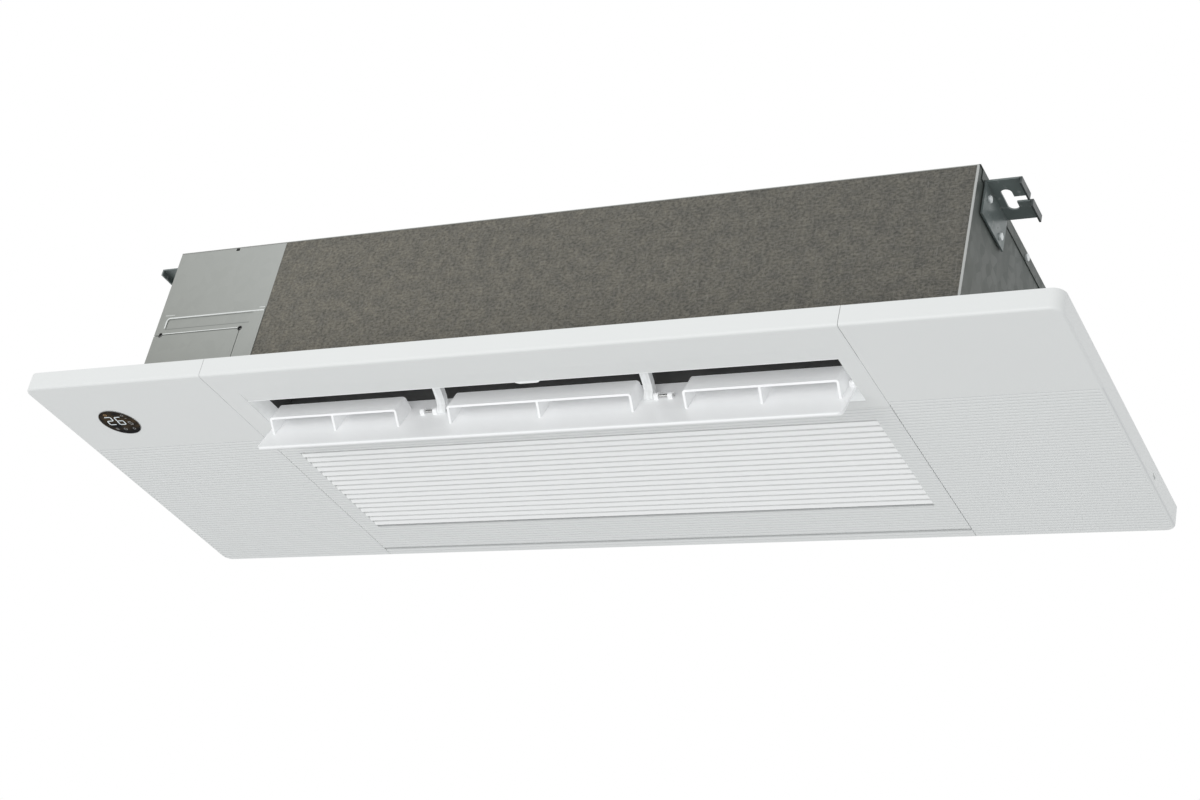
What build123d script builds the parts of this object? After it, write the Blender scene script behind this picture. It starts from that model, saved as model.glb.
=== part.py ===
from build123d import *
import math
import os

os.makedirs("parts", exist_ok=True)

# One-way ceiling cassette air conditioner, in millimetres.
# The origin is the middle of the decor panel on the ceiling plane: +X runs along the panel,
# -Y is the side that the air is blown to, +Z points up into the ceiling void.

# --- driving dimensions: decor panel ---
PANEL_LENGTH = 1200.0
PANEL_WIDTH = 413.0
PANEL_HEIGHT = 22.0
PANEL_CORNER_R = 12.0
PANEL_EDGE_R = 3.0
PANEL_WALL = 2.5
PANEL_SKIN = 2.5
SEAM = 0.6
SEAM_LEFT_MARGIN = 27.5
SEAM_RIGHT_MARGIN = 20.5
RIB_PITCH = 5.34
RIB_START_INSET = 5.48
RIB_GROOVE_WIDTH = 3.2
RIB_GROOVE_DEPTH = 1.0
RIB_END_MARGIN = 4.0
COVER_RETURN = 2.0
COVER_RETURN_TOP = -12.4

# --- driving dimensions: air outlet and its flap ---
OUTLET_FRONT_INSET = 58.0
OUTLET_DEPTH = 74.4
OUTLET_TO_GRILLE = 12.4
OUTLET_WALL = 2.0
OUTLET_LEAD_IN = 22.5
OUTLET_LEAD_IN_RISE = 1.2
THROAT_BACK_RISE = 5.0
STOP_LENGTH = 32.0
STOP_REACH = 7.5
FLAP_AXIS_INSET = 25.4
FLAP_AXIS_HEIGHT = 5.0
FLAP_CHORD = 47.8
FLAP_HEEL = 23.9
FLAP_THICK = 3.8
FLAP_HOLLOW = 0.9
FLAP_CORNER_R = 6.0
FLAP_END_GAP = 2.5
FLAP_OPEN_ANGLE = 66.0
FLAP_WIDEST_ANGLE = 78.0
FLAP_PIN_R = 1.6
FLAP_EYE_R = 3.6
FLAP_LUG_WIDTH = 5.0
FLAP_LUG_STEP = 15.7
FLAP_ARM_WIDTH = 10.0
FLAP_ARM_CLEARANCE = 0.8
FLAP_EYE_CLEARANCE = 0.4
ARM_LEFT_INSET = 220.0
ARM_RIGHT_INSET = 224.5
WING_HEIGHT = 16.2
WING_LEAD = 16.9
WING_TRAIL = -6.8
WING_THICK = 2.2
WING_CORNER_R = 3.4
WING_RIB_THICK = 2.6
WING_RIB_FOOT = 22.5

# --- driving dimensions: intake grille and filter ---
GRILLE_FAR_INSET = 17.0
GRILLE_FLANGE_HEIGHT = 9.0
GRILLE_FLANGE = 2.0
GRILLE_AXIS_INSET = 1.5
GRILLE_AXIS_HEIGHT = 3.5
GRILLE_PIN_R = 1.2
SLOT_COUNT = 17
SLOT_FIRST_INSET = 25.16
SLOT_PITCH = 2 * RIB_PITCH
SLOT_GAP = 4.2
SLOT_MARGIN_LEFT = 22.9
SLOT_MARGIN_RIGHT = 22.6
SLAT_DEPTH = 8.5
SLAT_RECESS = 1.0
SLAT_THICK = 1.8
CROSS_RIB_COUNT = 11
CROSS_RIB_THICK = 1.6
FILTER_THICK = 3.0
FILTER_BORDER = 6.0

# --- driving dimensions: body in the ceiling void ---
BODY_LENGTH = 968.0
BODY_HEIGHT = 186.0
BODY_FRONT_INSET = 50.0
BODY_BACK_INSET = 21.0
PUMP_BAY = 161.0
MOTOR_BAY = 116.0
BODY_FOOT = 1.0
SHEET = 1.0
FELT_THICK = 3.8
FELT_OVERHANG = 11.0
FELT_LIP = 2.2
TOP_FLANGE = 11.0
FOAM_THICK = 7.7
BOTTOM_FLANGE = 12.0

# --- driving dimensions: fan, evaporator and drain ---
FAN_R = 49.0
FAN_BEHIND_OUTLET = 22.1
FAN_BELOW_ROOF = 81.0
FAN_LEFT_GAP = 10.0
FAN_RIGHT_GAP = 25.0
FAN_BLADES = 30
FAN_DISCS = 7
FAN_DISC_THICK = 2.5
SHAFT_R = 5.0
FAN_MOTOR_R = 38.0
FAN_MOTOR_LENGTH = 56.0
COIL_BEHIND_FAN = 54.0
COIL_LOW_Z = 34.0
COIL_ANGLE = 41.9
COIL_HEADROOM = 19.4
COIL_REAR_ROOM = 40.0
COIL_THICK = 26.0
COIL_ROW_PITCH = 31.0
COIL_ROW_START = 15.0
COIL_COLUMN_GAP = 13.0
TUBE_R = 3.5
FIN_COUNT = 63
FIN_THICK = 0.8
GAS_PIPE_R = 6.35
LIQUID_PIPE_R = 4.76
PIPE_WALL = 1.0
PIPE_REACH = 61.0
GAS_STUB_R = 9.5
GAS_STUB_LENGTH = 16.0
LIQUID_STUB_R = 7.9
LIQUID_STUB_LENGTH = 14.0
SPOUT_R = 12.5
SPOUT_NECK_R = 11.9
SPOUT_WALL = 2.5
SPOUT_REACH = 51.0
SPOUT_STRETCH = 48.0

# --- driving dimensions: vertical vanes ---
VANE_PITCH = 84.0
VANE_AXIS_Z = 50.0
VANE_DROP = 18.0
VANE_RISE = 10.0
VANE_THICK = 2.0
VANE_CRANK_R = 14.0
VANE_PIN_R = 1.5
LINK_Y = -120.0
LINK_THICK = 2.0
LINK_HEIGHT = 11.0
CRANK_END_GAP = 11.0

# --- driving dimensions: hangers ---
BRACKET_REACH = 37.0
BRACKET_WIDTH = 65.0
BRACKET_THICK = 2.0
BRACKET_FRONT_DROP = 8.0
BRACKET_REAR_DROP = 52.0
BRACKET_FRONT_INSET = 48.0
BRACKET_REAR_INSET = 35.5
BRACKET_FLANGE = 39.0
BRACKET_LIP = 6.0
SLOT_WIDTH = 11.0
SLOT_OVERALL = 34.0
SLOT_INSET = 15.0
SLOT_NECK = 9.0
SCREW_R = 2.0
SCREW_HEAD_R = 4.0
SCREW_HEAD_H = 2.4

# --- driving dimensions: display ---
DISPLAY_END_INSET = 80.7
DISPLAY_FRONT_INSET = 79.3
DISPLAY_R = 24.8

# --- fits ---
FIT = 0.3
RUNNING = 0.05
CUT = 1.0

# --- levels and lines that follow from the dimensions ---
PANEL_X = PANEL_LENGTH / 2
PANEL_Y = PANEL_WIDTH / 2
UNDERSIDE = -PANEL_HEIGHT
SKIN_TOP = UNDERSIDE + PANEL_SKIN
BODY_X = BODY_LENGTH / 2
BODY_FRONT = -PANEL_Y + BODY_FRONT_INSET
BODY_BACK = PANEL_Y - BODY_BACK_INSET
OUTLET_LEFT = -BODY_X + PUMP_BAY
OUTLET_RIGHT = BODY_X - MOTOR_BAY
OUTLET_LENGTH = OUTLET_RIGHT - OUTLET_LEFT
OUTLET_CENTRE_X = (OUTLET_LEFT + OUTLET_RIGHT) / 2
OUTLET_FRONT_Y = -PANEL_Y + OUTLET_FRONT_INSET
OUTLET_BACK_Y = OUTLET_FRONT_Y + OUTLET_DEPTH
SEAM_LEFT = OUTLET_LEFT - SEAM_LEFT_MARGIN
SEAM_RIGHT = OUTLET_RIGHT + SEAM_RIGHT_MARGIN
RIB_FIRST_Y = OUTLET_BACK_Y + RIB_START_INSET
FLAP_Y = OUTLET_BACK_Y - FLAP_AXIS_INSET
FLAP_Z = UNDERSIDE + FLAP_AXIS_HEIGHT
GRILLE_NEAR_Y = OUTLET_BACK_Y + OUTLET_TO_GRILLE
GRILLE_FAR_Y = PANEL_Y - GRILLE_FAR_INSET
GRILLE_AXIS_Y = GRILLE_FAR_Y - GRILLE_AXIS_INSET
GRILLE_Z = UNDERSIDE + GRILLE_AXIS_HEIGHT
SLOT_FIRST_Y = GRILLE_NEAR_Y + SLOT_FIRST_INSET
DISPLAY_X = -PANEL_X + DISPLAY_END_INSET
DISPLAY_Y = -PANEL_Y + DISPLAY_FRONT_INSET
SIDE_OUT = BODY_X - SHEET
SIDE_IN = SIDE_OUT - SHEET
ROOF = BODY_HEIGHT - SHEET
PLATE_TOP = ROOF - FIT
FRONT_PLATE_Y = BODY_FRONT + FELT_THICK + FIT
FELT_START_X = OUTLET_LEFT - FELT_OVERHANG
FOAM_BOTTOM = PLATE_TOP - FOAM_THICK
FAN_Y = OUTLET_BACK_Y + FAN_BEHIND_OUTLET
FAN_Z = BODY_HEIGHT - FAN_BELOW_ROOF
FAN_START_X = OUTLET_LEFT + FAN_LEFT_GAP
FAN_END_X = OUTLET_RIGHT - FAN_RIGHT_GAP
COIL_LOW_Y = FAN_Y + COIL_BEHIND_FAN
COIL_SLOPE = math.radians(COIL_ANGLE)
COIL_BY_HEIGHT = (FOAM_BOTTOM - COIL_HEADROOM - COIL_LOW_Z) / math.sin(COIL_SLOPE)
COIL_BY_DEPTH = (BODY_BACK - COIL_REAR_ROOM - COIL_LOW_Y) / math.cos(COIL_SLOPE)
COIL_LENGTH = min(COIL_BY_HEIGHT, COIL_BY_DEPTH)
COIL_ROWS = int((COIL_LENGTH - 2 * COIL_ROW_START) / COIL_ROW_PITCH) + 1
VANE_COUNT = int(OUTLET_LENGTH / VANE_PITCH)
CRANK_X = OUTLET_RIGHT - CRANK_END_GAP
DUCT_LEFT = OUTLET_LEFT - 2.0
DUCT_RIGHT = OUTLET_RIGHT + 2.0
DUCT_WALL = 2.0
PARTITION_LEFT = DUCT_LEFT - DUCT_WALL - FIT
PARTITION_RIGHT = DUCT_RIGHT + DUCT_WALL + FIT
DUCT_NEAR_Y = OUTLET_FRONT_Y + 2.5
DUCT_NEAR_TOP = 70.0
DUCT_FAR_LOW_Y = OUTLET_BACK_Y - 1.9
DUCT_FAR_HIGH_Y = DUCT_FAR_LOW_Y - 12.0
DUCT_FAR_TOP = 60.0
DUCT_FAR_BOTTOM = THROAT_BACK_RISE + FIT
CAVITY_LEFT = DUCT_LEFT - DUCT_WALL
CAVITY_RIGHT = DUCT_RIGHT + DUCT_WALL - FIT


def block(x0, x1, y0, y1, z0, z1):
    """A box between two corners."""
    centre = Pos((x0 + x1) / 2, (y0 + y1) / 2, (z0 + z1) / 2)
    return centre * Box(x1 - x0, y1 - y0, z1 - z0)


def rod_x(x0, x1, y, z, r):
    """A round bar along X."""
    return Pos((x0 + x1) / 2, y, z) * Rot(0, 90, 0) * Cylinder(r, x1 - x0)


def rod_y(x, y0, y1, z, r):
    """A round bar along Y."""
    return Pos(x, (y0 + y1) / 2, z) * Rot(90, 0, 0) * Cylinder(r, y1 - y0)


def rod_z(x, y, z0, z1, r):
    """A round bar along Z."""
    return Pos(x, y, (z0 + z1) / 2) * Cylinder(r, z1 - z0)


def section_plane(x):
    """The YZ plane at x, with its own axes along +Y and +Z."""
    return Plane(origin=(x, 0, 0), x_dir=(0, 1, 0), z_dir=(1, 0, 0))


def prism_x(points, x0, x1):
    """A straight-sided YZ outline drawn out along X."""
    outline = make_face(Polyline(*points, close=True))
    return extrude(section_plane(x0) * outline, x1 - x0)


def profile_x(edges, x0, x1):
    """A YZ outline of lines and arcs drawn out along X."""
    return extrude(section_plane(x0) * make_face(edges), x1 - x0)


def turned_flap(shape):
    """Turns a piece drawn with the flap shut to the open position."""
    hinge = Axis((0, FLAP_Y, FLAP_Z), (1, 0, 0))
    return shape.rotate(hinge, FLAP_OPEN_ANGLE)


def save(name, *shapes):
    """Writes one node: all the solids of the shapes given."""
    solids = []
    for shape in shapes:
        solids.extend(shape.solids())
    node = solids[0] if len(solids) == 1 else Compound(children=solids)
    export_step(node, "parts/" + name + ".step")


# --- decor panel: one moulded tray, parted into end covers, front trim and rear trim ---

def panel_block(inset, z0, z1):
    """The panel's plan outline, drawn in by inset, between two levels."""
    length = PANEL_LENGTH - 2 * inset
    width = PANEL_WIDTH - 2 * inset
    corner = max(PANEL_CORNER_R - inset, 1.0)
    return Pos(0, 0, z0) * extrude(RectangleRounded(length, width, corner), z1 - z0)


def panel_tray():
    outer = panel_block(0, UNDERSIDE, 0)
    lower_edges = outer.faces().sort_by(Axis.Z)[0].edges()
    outer = fillet(lower_edges, PANEL_EDGE_R)
    return outer - panel_block(PANEL_WALL, SKIN_TOP, CUT)


def rib_grooves(x0, x1, y0, y1):
    """The V grooves between the fine ribs of the underside, along X."""
    grooves = []
    count = int((PANEL_WIDTH / 2 - RIB_END_MARGIN - RIB_FIRST_Y) / RIB_PITCH) + 1
    for index in range(count):
        y = RIB_FIRST_Y + index * RIB_PITCH
        if y0 < y < y1:
            half = RIB_GROOVE_WIDTH / 2
            base = UNDERSIDE - 0.2
            tip = UNDERSIDE + RIB_GROOVE_DEPTH
            grooves.append(prism_x([(y - half, base), (y + half, base), (y, tip)], x0, x1))
    return grooves


TRAY = panel_tray()
GRILLE_LEFT = SEAM_LEFT + SEAM / 2 + 0.1
GRILLE_RIGHT = SEAM_RIGHT - SEAM / 2 - 0.1
REAR_TRIM_Y = GRILLE_AXIS_Y + GRILLE_AXIS_HEIGHT + 0.2
FINGER_SLOT_Y = (PANEL_Y - 101.5, PANEL_Y - 92.5)
FINGER_SLOT_Z = (UNDERSIDE + 6.0, UNDERSIDE + 10.0)


def end_cover(x0, x1, seam_x, inward):
    """An end cover: its part of the tray and a return rib along the seam."""
    cover = TRAY & block(x0, x1, -PANEL_Y - CUT, PANEL_Y + CUT, UNDERSIDE - CUT, CUT)
    inner_y = PANEL_Y - PANEL_WALL
    ribs = sorted((seam_x, seam_x + inward * COVER_RETURN))
    cover += block(ribs[0], ribs[1], -inner_y, inner_y, SKIN_TOP - 0.1, COVER_RETURN_TOP)
    pin_hole = rod_x(seam_x - 5, seam_x + 5, GRILLE_AXIS_Y, GRILLE_Z, GRILLE_PIN_R + 2 * RUNNING)
    return cover - pin_hole


def make_end_covers():
    left_edge = SEAM_LEFT - SEAM / 2
    right_edge = SEAM_RIGHT + SEAM / 2
    margin = PANEL_X - RIB_END_MARGIN
    left = end_cover(-PANEL_X - CUT, left_edge, left_edge, -1)
    left -= rib_grooves(-margin, left_edge + CUT, -PANEL_Y, PANEL_Y)
    left -= rod_z(DISPLAY_X, DISPLAY_Y, UNDERSIDE - CUT, SKIN_TOP + CUT, DISPLAY_R + FIT)
    right = end_cover(right_edge, PANEL_X + CUT, right_edge, 1)
    right -= rib_grooves(right_edge - CUT, margin, -PANEL_Y, PANEL_Y)
    # a finger slot in the right end wall for lifting the cover off
    right -= block(PANEL_X - 1.2, PANEL_X + CUT, *FINGER_SLOT_Y, *FINGER_SLOT_Z)
    save("left_end_cover", left)
    save("right_end_cover", right)


STOP_LOW = UNDERSIDE + 4.1
STOP_HIGH = UNDERSIDE + 7.1


def make_front_trim():
    """The middle of the panel's front: the outlet and its throat walls are one moulding."""
    left_x = SEAM_LEFT + SEAM / 2
    right_x = SEAM_RIGHT - SEAM / 2
    far_y = GRILLE_NEAR_Y - SEAM / 2
    trim = TRAY & block(left_x, right_x, -PANEL_Y - CUT, far_y, UNDERSIDE - CUT, CUT)
    lead_in = [
        (OUTLET_FRONT_Y - OUTLET_LEAD_IN, UNDERSIDE - 0.01),
        (OUTLET_FRONT_Y + CUT, UNDERSIDE - 0.01),
        (OUTLET_FRONT_Y + CUT, UNDERSIDE + OUTLET_LEAD_IN_RISE),
    ]
    trim -= prism_x(lead_in, OUTLET_LEFT, OUTLET_RIGHT)
    wall_x0 = OUTLET_LEFT - OUTLET_WALL
    wall_x1 = OUTLET_RIGHT + OUTLET_WALL
    wall_y0 = OUTLET_FRONT_Y - OUTLET_WALL
    wall_y1 = OUTLET_BACK_Y + OUTLET_WALL
    trim += block(wall_x0, wall_x1, wall_y0, wall_y1, SKIN_TOP - 0.5, -FIT)
    trim += block(OUTLET_LEFT + 0.2, OUTLET_RIGHT - 0.2, OUTLET_BACK_Y, wall_y1, -CUT, THROAT_BACK_RISE)
    opening = block(OUTLET_LEFT, OUTLET_RIGHT, OUTLET_FRONT_Y, OUTLET_BACK_Y, UNDERSIDE - CUT, 20)
    trim -= opening
    # the shut flap rests on this rounded stop
    stop = extrude(RectangleRounded(STOP_LENGTH, 2 * STOP_REACH, STOP_REACH - 0.2), STOP_HIGH - STOP_LOW)
    trim += Pos(OUTLET_CENTRE_X + 2, OUTLET_FRONT_Y, STOP_LOW) * stop
    for x in (OUTLET_LEFT - CUT, OUTLET_RIGHT + CUT):
        trim -= rod_x(x - 3, x + 3, FLAP_Y, FLAP_Z, FLAP_PIN_R + RUNNING)
    save("front_trim", trim)


def make_rear_trim():
    left_x = SEAM_LEFT + SEAM / 2
    right_x = SEAM_RIGHT - SEAM / 2
    trim = TRAY & block(left_x, right_x, REAR_TRIM_Y, PANEL_Y + CUT, UNDERSIDE - CUT, CUT)
    trim -= rib_grooves(left_x - CUT, right_x + CUT, REAR_TRIM_Y + 1, PANEL_Y)
    save("rear_trim", trim)


FRAME_LOW = -12.0
FRAME_HIGH = -9.5
INTAKE_LEFT = SEAM_LEFT + 10.5
INTAKE_RIGHT = SEAM_RIGHT - 10.5
INTAKE_NEAR = GRILLE_NEAR_Y + 5.7
INTAKE_FAR = GRILLE_FAR_Y - 9.5
FLAP_MOTOR_BAY = 24.0
LATCH_INSET = 89.0
LATCH_HALF = 12.0
LATCH_XS = (INTAKE_LEFT + LATCH_INSET, INTAKE_RIGHT - LATCH_INSET)
ROOM_MARGIN = 21.5
ROOM_END_MARGIN = 40.0
ROOM_FAR_Y = PANEL_Y - 56.5
BOSS_X = SIDE_IN - BOTTOM_FLANGE / 2
BOSS_FRONT_Y = BODY_FRONT + 16.0
BOSS_BACK_Y = BODY_BACK - 14.0


def make_panel_frame():
    """The stiff frame inside the covers, screwed to the body through four posts."""
    edge = PANEL_WALL + FIT
    frame = panel_block(edge, FRAME_LOW, FRAME_HIGH)
    frame += panel_block(edge, FRAME_LOW, -FIT) - panel_block(edge + 2.0, FRAME_LOW - CUT, CUT)
    x0 = OUTLET_LEFT - OUTLET_WALL - FIT
    x1 = OUTLET_RIGHT + OUTLET_WALL + FLAP_MOTOR_BAY
    y0 = OUTLET_FRONT_Y - OUTLET_WALL - FIT
    y1 = OUTLET_BACK_Y + OUTLET_WALL + FIT
    frame -= block(x0, x1, y0, y1, FRAME_LOW - CUT, CUT)
    intake = (INTAKE_LEFT, INTAKE_RIGHT, INTAKE_NEAR, INTAKE_FAR)
    frame += block(intake[0] - 2, intake[1] + 2, intake[2] - 2, intake[3] + 2, FRAME_LOW, -3.0)
    frame -= block(*intake, FRAME_LOW - CUT, CUT)
    # open rooms for wiring and service at the two ends
    frame -= block(-PANEL_X + ROOM_END_MARGIN, SEAM_LEFT - ROOM_MARGIN,
                   DISPLAY_Y + DISPLAY_R + 10.4, ROOM_FAR_Y, FRAME_LOW - CUT, CUT)
    frame -= block(SEAM_RIGHT + ROOM_MARGIN, PANEL_X - ROOM_END_MARGIN,
                   BODY_FRONT + 16.5, ROOM_FAR_Y, FRAME_LOW - CUT, CUT)
    for x in (-BOSS_X, BOSS_X):
        for y in (BOSS_FRONT_Y, BOSS_BACK_Y):
            frame += rod_z(x, y, FRAME_LOW, BODY_FOOT - FIT, 6.0)
    save("panel_frame", frame)


def make_push_latches():
    """Two catches on the frame that hold the near edge of the grille shut."""
    latches = []
    for x in LATCH_XS:
        body = block(x - LATCH_HALF, x + LATCH_HALF, OUTLET_BACK_Y + OUTLET_WALL + FIT,
                     GRILLE_NEAR_Y - 1.2, SKIN_TOP + FIT, FRAME_LOW - FIT)
        nose = rod_x(x - 8, x + 8, GRILLE_NEAR_Y - 2.4, FRAME_LOW - 3.5, 2.1)
        latches.append(body + nose)
    save("push_latches", *latches)


def make_display():
    lens = rod_z(DISPLAY_X, DISPLAY_Y, UNDERSIDE - 0.2, SKIN_TOP - 0.2, DISPLAY_R)
    module = rod_z(DISPLAY_X, DISPLAY_Y, SKIN_TOP + 0.1, FRAME_LOW - FIT, DISPLAY_R + 4.0)
    module += block(DISPLAY_X - 8, DISPLAY_X + 8, DISPLAY_Y - 36, DISPLAY_Y + 20,
                    SKIN_TOP + 0.1, FRAME_LOW - 2.0)
    save("display_lens", lens)
    save("display_module", module)


# --- flap: a plate that turns about a line behind its middle, with three guide wings inside ---

FLAP_LEFT = OUTLET_LEFT + FLAP_END_GAP
FLAP_RIGHT = OUTLET_RIGHT - FLAP_END_GAP
FLAP_OUTER = -FLAP_AXIS_HEIGHT
FLAP_INNER = FLAP_OUTER + FLAP_THICK
FLAP_ROOT = FLAP_INNER - FLAP_HOLLOW - 0.4
ARM_X = (OUTLET_LEFT + ARM_LEFT_INSET, OUTLET_RIGHT - ARM_RIGHT_INSET)
ARM_SIDES = (-1, 1)
ARM_ELBOW = (-2.0, 6.0)
WING_SPANS = (
    (FLAP_LEFT + 8.5, ARM_X[0] - 44.0),
    (ARM_X[0] + 19.0, ARM_X[1] - 9.5),
    (ARM_X[1] + 47.5, FLAP_RIGHT - 7.5),
)


def flap_point(along, above):
    """Along the shut flap from its hinge, and above it, as (y, z)."""
    return (FLAP_Y - along, FLAP_Z + above)


def flap_outline():
    """The plate's section: flat outside, slightly hollow inside, with a rounded lip."""
    heel = flap_point(-FLAP_HEEL, FLAP_OUTER)
    lip_out = flap_point(FLAP_CHORD - FLAP_THICK / 2, FLAP_OUTER)
    lip_mid = flap_point(FLAP_CHORD, FLAP_OUTER + FLAP_THICK / 2)
    lip_in = flap_point(FLAP_CHORD - FLAP_THICK / 2, FLAP_INNER)
    hollow = flap_point((FLAP_CHORD - FLAP_HEEL) / 2, FLAP_INNER - FLAP_HOLLOW)
    heel_in = flap_point(-FLAP_HEEL, FLAP_INNER)
    return [
        Line(heel, lip_out),
        ThreePointArc(lip_out, lip_mid, lip_in),
        ThreePointArc(lip_in, hollow, heel_in),
        Line(heel_in, heel),
    ]


def flap_plate():
    """The plate, with its two lip corners rounded in plan."""
    plate = profile_x(flap_outline(), FLAP_LEFT, FLAP_RIGHT)
    spare = 20.0
    width = FLAP_CHORD + FLAP_HEEL + spare
    plan = extrude(RectangleRounded(FLAP_RIGHT - FLAP_LEFT, width, FLAP_CORNER_R), 4 * FLAP_THICK)
    place = Pos(OUTLET_CENTRE_X, FLAP_Y - FLAP_CHORD + width / 2, FLAP_Z + 2 * FLAP_OUTER)
    return plate & (place * plan)


def wing_section():
    """Outline of a rib, which is also the side of a wing."""
    return [
        flap_point(WING_LEAD, WING_HEIGHT),
        flap_point(WING_TRAIL, WING_HEIGHT),
        flap_point(WING_TRAIL - 2.2, FLAP_ROOT),
        flap_point(WING_RIB_FOOT + 0.5, FLAP_ROOT),
    ]


def guide_wing(x0, x1):
    """One guide wing: a strip bent down at both ends to the plate, with a rib in the middle."""
    arch = prism_x(wing_section(), x0, x1)
    top = arch.faces().sort_by(Axis.Z)[-1]
    corners = top.edges().filter_by(Axis.Y)
    arch = fillet(corners, WING_CORNER_R)
    wide = 60.0
    low = FLAP_Z - wide
    high = FLAP_Z + WING_HEIGHT - WING_THICK
    room = block(x0 + WING_RIB_THICK, x1 - WING_RIB_THICK, FLAP_Y - wide, FLAP_Y + wide, low, high)
    room_corners = room.faces().sort_by(Axis.Z)[-1].edges().filter_by(Axis.Y)
    room = fillet(room_corners, WING_CORNER_R - WING_THICK)
    middle = (x0 + x1) / 2
    half = WING_RIB_THICK / 2
    return (arch - room) + prism_x(wing_section(), middle - half, middle + half)


def hinge_lug(x0, x1):
    """A rounded lug that stands on the plate and holds a hinge pin."""
    lug = rod_x(x0, x1, FLAP_Y, FLAP_Z, FLAP_EYE_R)
    return lug + block(x0, x1, FLAP_Y - FLAP_EYE_R, FLAP_Y + FLAP_EYE_R, FLAP_Z + FLAP_ROOT, FLAP_Z)


def capsule(start, end, width):
    """A round-ended bar in the section plane, from start to end."""
    run = end[0] - start[0]
    rise = end[1] - start[1]
    middle = Pos((start[0] + end[0]) / 2, (start[1] + end[1]) / 2)
    turn = Rot(0, 0, math.degrees(math.atan2(rise, run)))
    return middle * turn * SlotCenterToCenter(math.hypot(run, rise), width)


def arm_in_flap(y, z):
    """A place on an arm, in y and z from the hinge, as the widest open flap sees it."""
    angle = math.radians(FLAP_WIDEST_ANGLE)
    along = -y * math.cos(angle) - z * math.sin(angle)
    above = z * math.cos(angle) - y * math.sin(angle)
    return flap_point(along, above)


def arm_pocket(x0, x1):
    """The room in the plate for an arm's eye, long enough for the widest open flap."""
    hollow = capsule(flap_point(0, 0), arm_in_flap(*ARM_ELBOW), 2 * (FLAP_EYE_R + FLAP_EYE_CLEARANCE))
    return extrude(section_plane(x0) * hollow, x1 - x0)


def make_flap():
    flap = flap_plate()
    for x0, x1 in WING_SPANS:
        flap += guide_wing(x0, x1)
    pocket = FLAP_ARM_WIDTH / 2 + FLAP_ARM_CLEARANCE
    pins = []
    for x, side in zip(ARM_X, ARM_SIDES):
        # each arm's eye sits in a pocket of the plate, with two lugs beside it that hold its pin
        flap -= arm_pocket(x - pocket, x + pocket)
        first = x + side * pocket
        for step in (0, FLAP_LUG_STEP):
            lug = sorted((first + side * step, first + side * (step + FLAP_LUG_WIDTH)))
            flap += hinge_lug(*lug)
        pin_end = first + side * (FLAP_LUG_STEP + FLAP_LUG_WIDTH + 1)
        pin = sorted((x - side * FLAP_ARM_WIDTH / 2, pin_end))
        flap -= rod_x(pin[0], pin[1], FLAP_Y, FLAP_Z, FLAP_PIN_R)
        pins.append(rod_x(pin[0], pin[1], FLAP_Y, FLAP_Z, FLAP_PIN_R - 0.01))
    flap += hinge_lug(FLAP_LEFT, FLAP_LEFT + FLAP_LUG_WIDTH)
    flap += hinge_lug(FLAP_RIGHT - FLAP_LUG_WIDTH, FLAP_RIGHT)
    flap += rod_x(OUTLET_LEFT - OUTLET_WALL, FLAP_LEFT + 1, FLAP_Y, FLAP_Z, FLAP_PIN_R)
    flap += rod_x(FLAP_RIGHT - 1, OUTLET_RIGHT + OUTLET_WALL + 8, FLAP_Y, FLAP_Z, FLAP_PIN_R)
    save("flap", turned_flap(flap))
    save("flap_pins", *pins)


def make_flap_arms():
    """Two S-shaped hangers that carry the flap's hinge between the wings."""
    path = [
        (FLAP_Y, FLAP_Z, 2 * FLAP_EYE_R),
        (FLAP_Y + ARM_ELBOW[0], FLAP_Z + ARM_ELBOW[1], 7.0),
        (FLAP_Y - 8.5, FLAP_Z + 11.5, 7.5),
        (FLAP_Y - 18, FLAP_Z + 17, 8.0),
        (FLAP_Y - 29, FLAP_Z + 26, 8.5),
        (DUCT_NEAR_Y + 4.8, FLAP_Z + 40, 9.0),
    ]
    arms = []
    for x in ARM_X:
        outline = Sketch()
        for first, second in zip(path, path[1:]):
            outline += capsule(first[:2], second[:2], first[2])
        half = FLAP_ARM_WIDTH / 2
        arm = extrude(section_plane(x - half) * outline, FLAP_ARM_WIDTH)
        arm += block(x - half, x + half, DUCT_NEAR_Y + FIT, DUCT_NEAR_Y + 4.5, FLAP_Z + 32, FLAP_Z + 47)
        arm -= rod_x(x - 20, x + 20, FLAP_Y, FLAP_Z, FLAP_PIN_R + RUNNING)
        arms.append(arm)
    save("flap_arms", *arms)


def make_flap_motor():
    """A flat geared motor in the panel, on the flap's drive pin."""
    x0 = OUTLET_RIGHT + OUTLET_WALL + FIT
    case = block(x0, x0 + 16, FLAP_Y - 8, FLAP_Y + 8, SKIN_TOP + FIT, -4.0)
    case += block(x0 + 16, x0 + 21, FLAP_Y - 6, FLAP_Y + 6, COVER_RETURN_TOP + FIT, -5.0)
    case -= rod_x(x0 - CUT, x0 + 8, FLAP_Y, FLAP_Z, FLAP_PIN_R + RUNNING)
    save("flap_motor", case)


# --- air duct above the outlet and the vertical vanes that swing in it ---

def duct_far_wall(x0, x1):
    top = DUCT_FAR_TOP
    outline = [
        (DUCT_FAR_LOW_Y, DUCT_FAR_BOTTOM),
        (DUCT_FAR_LOW_Y + DUCT_WALL, DUCT_FAR_BOTTOM),
        (DUCT_FAR_HIGH_Y + DUCT_WALL, top),
        (DUCT_FAR_HIGH_Y, top),
    ]
    return prism_x(outline, x0, x1)


def vane_positions():
    middle = OUTLET_CENTRE_X
    first = middle - VANE_PITCH * (VANE_COUNT - 1) / 2
    return [first + index * VANE_PITCH for index in range(VANE_COUNT)]


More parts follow.
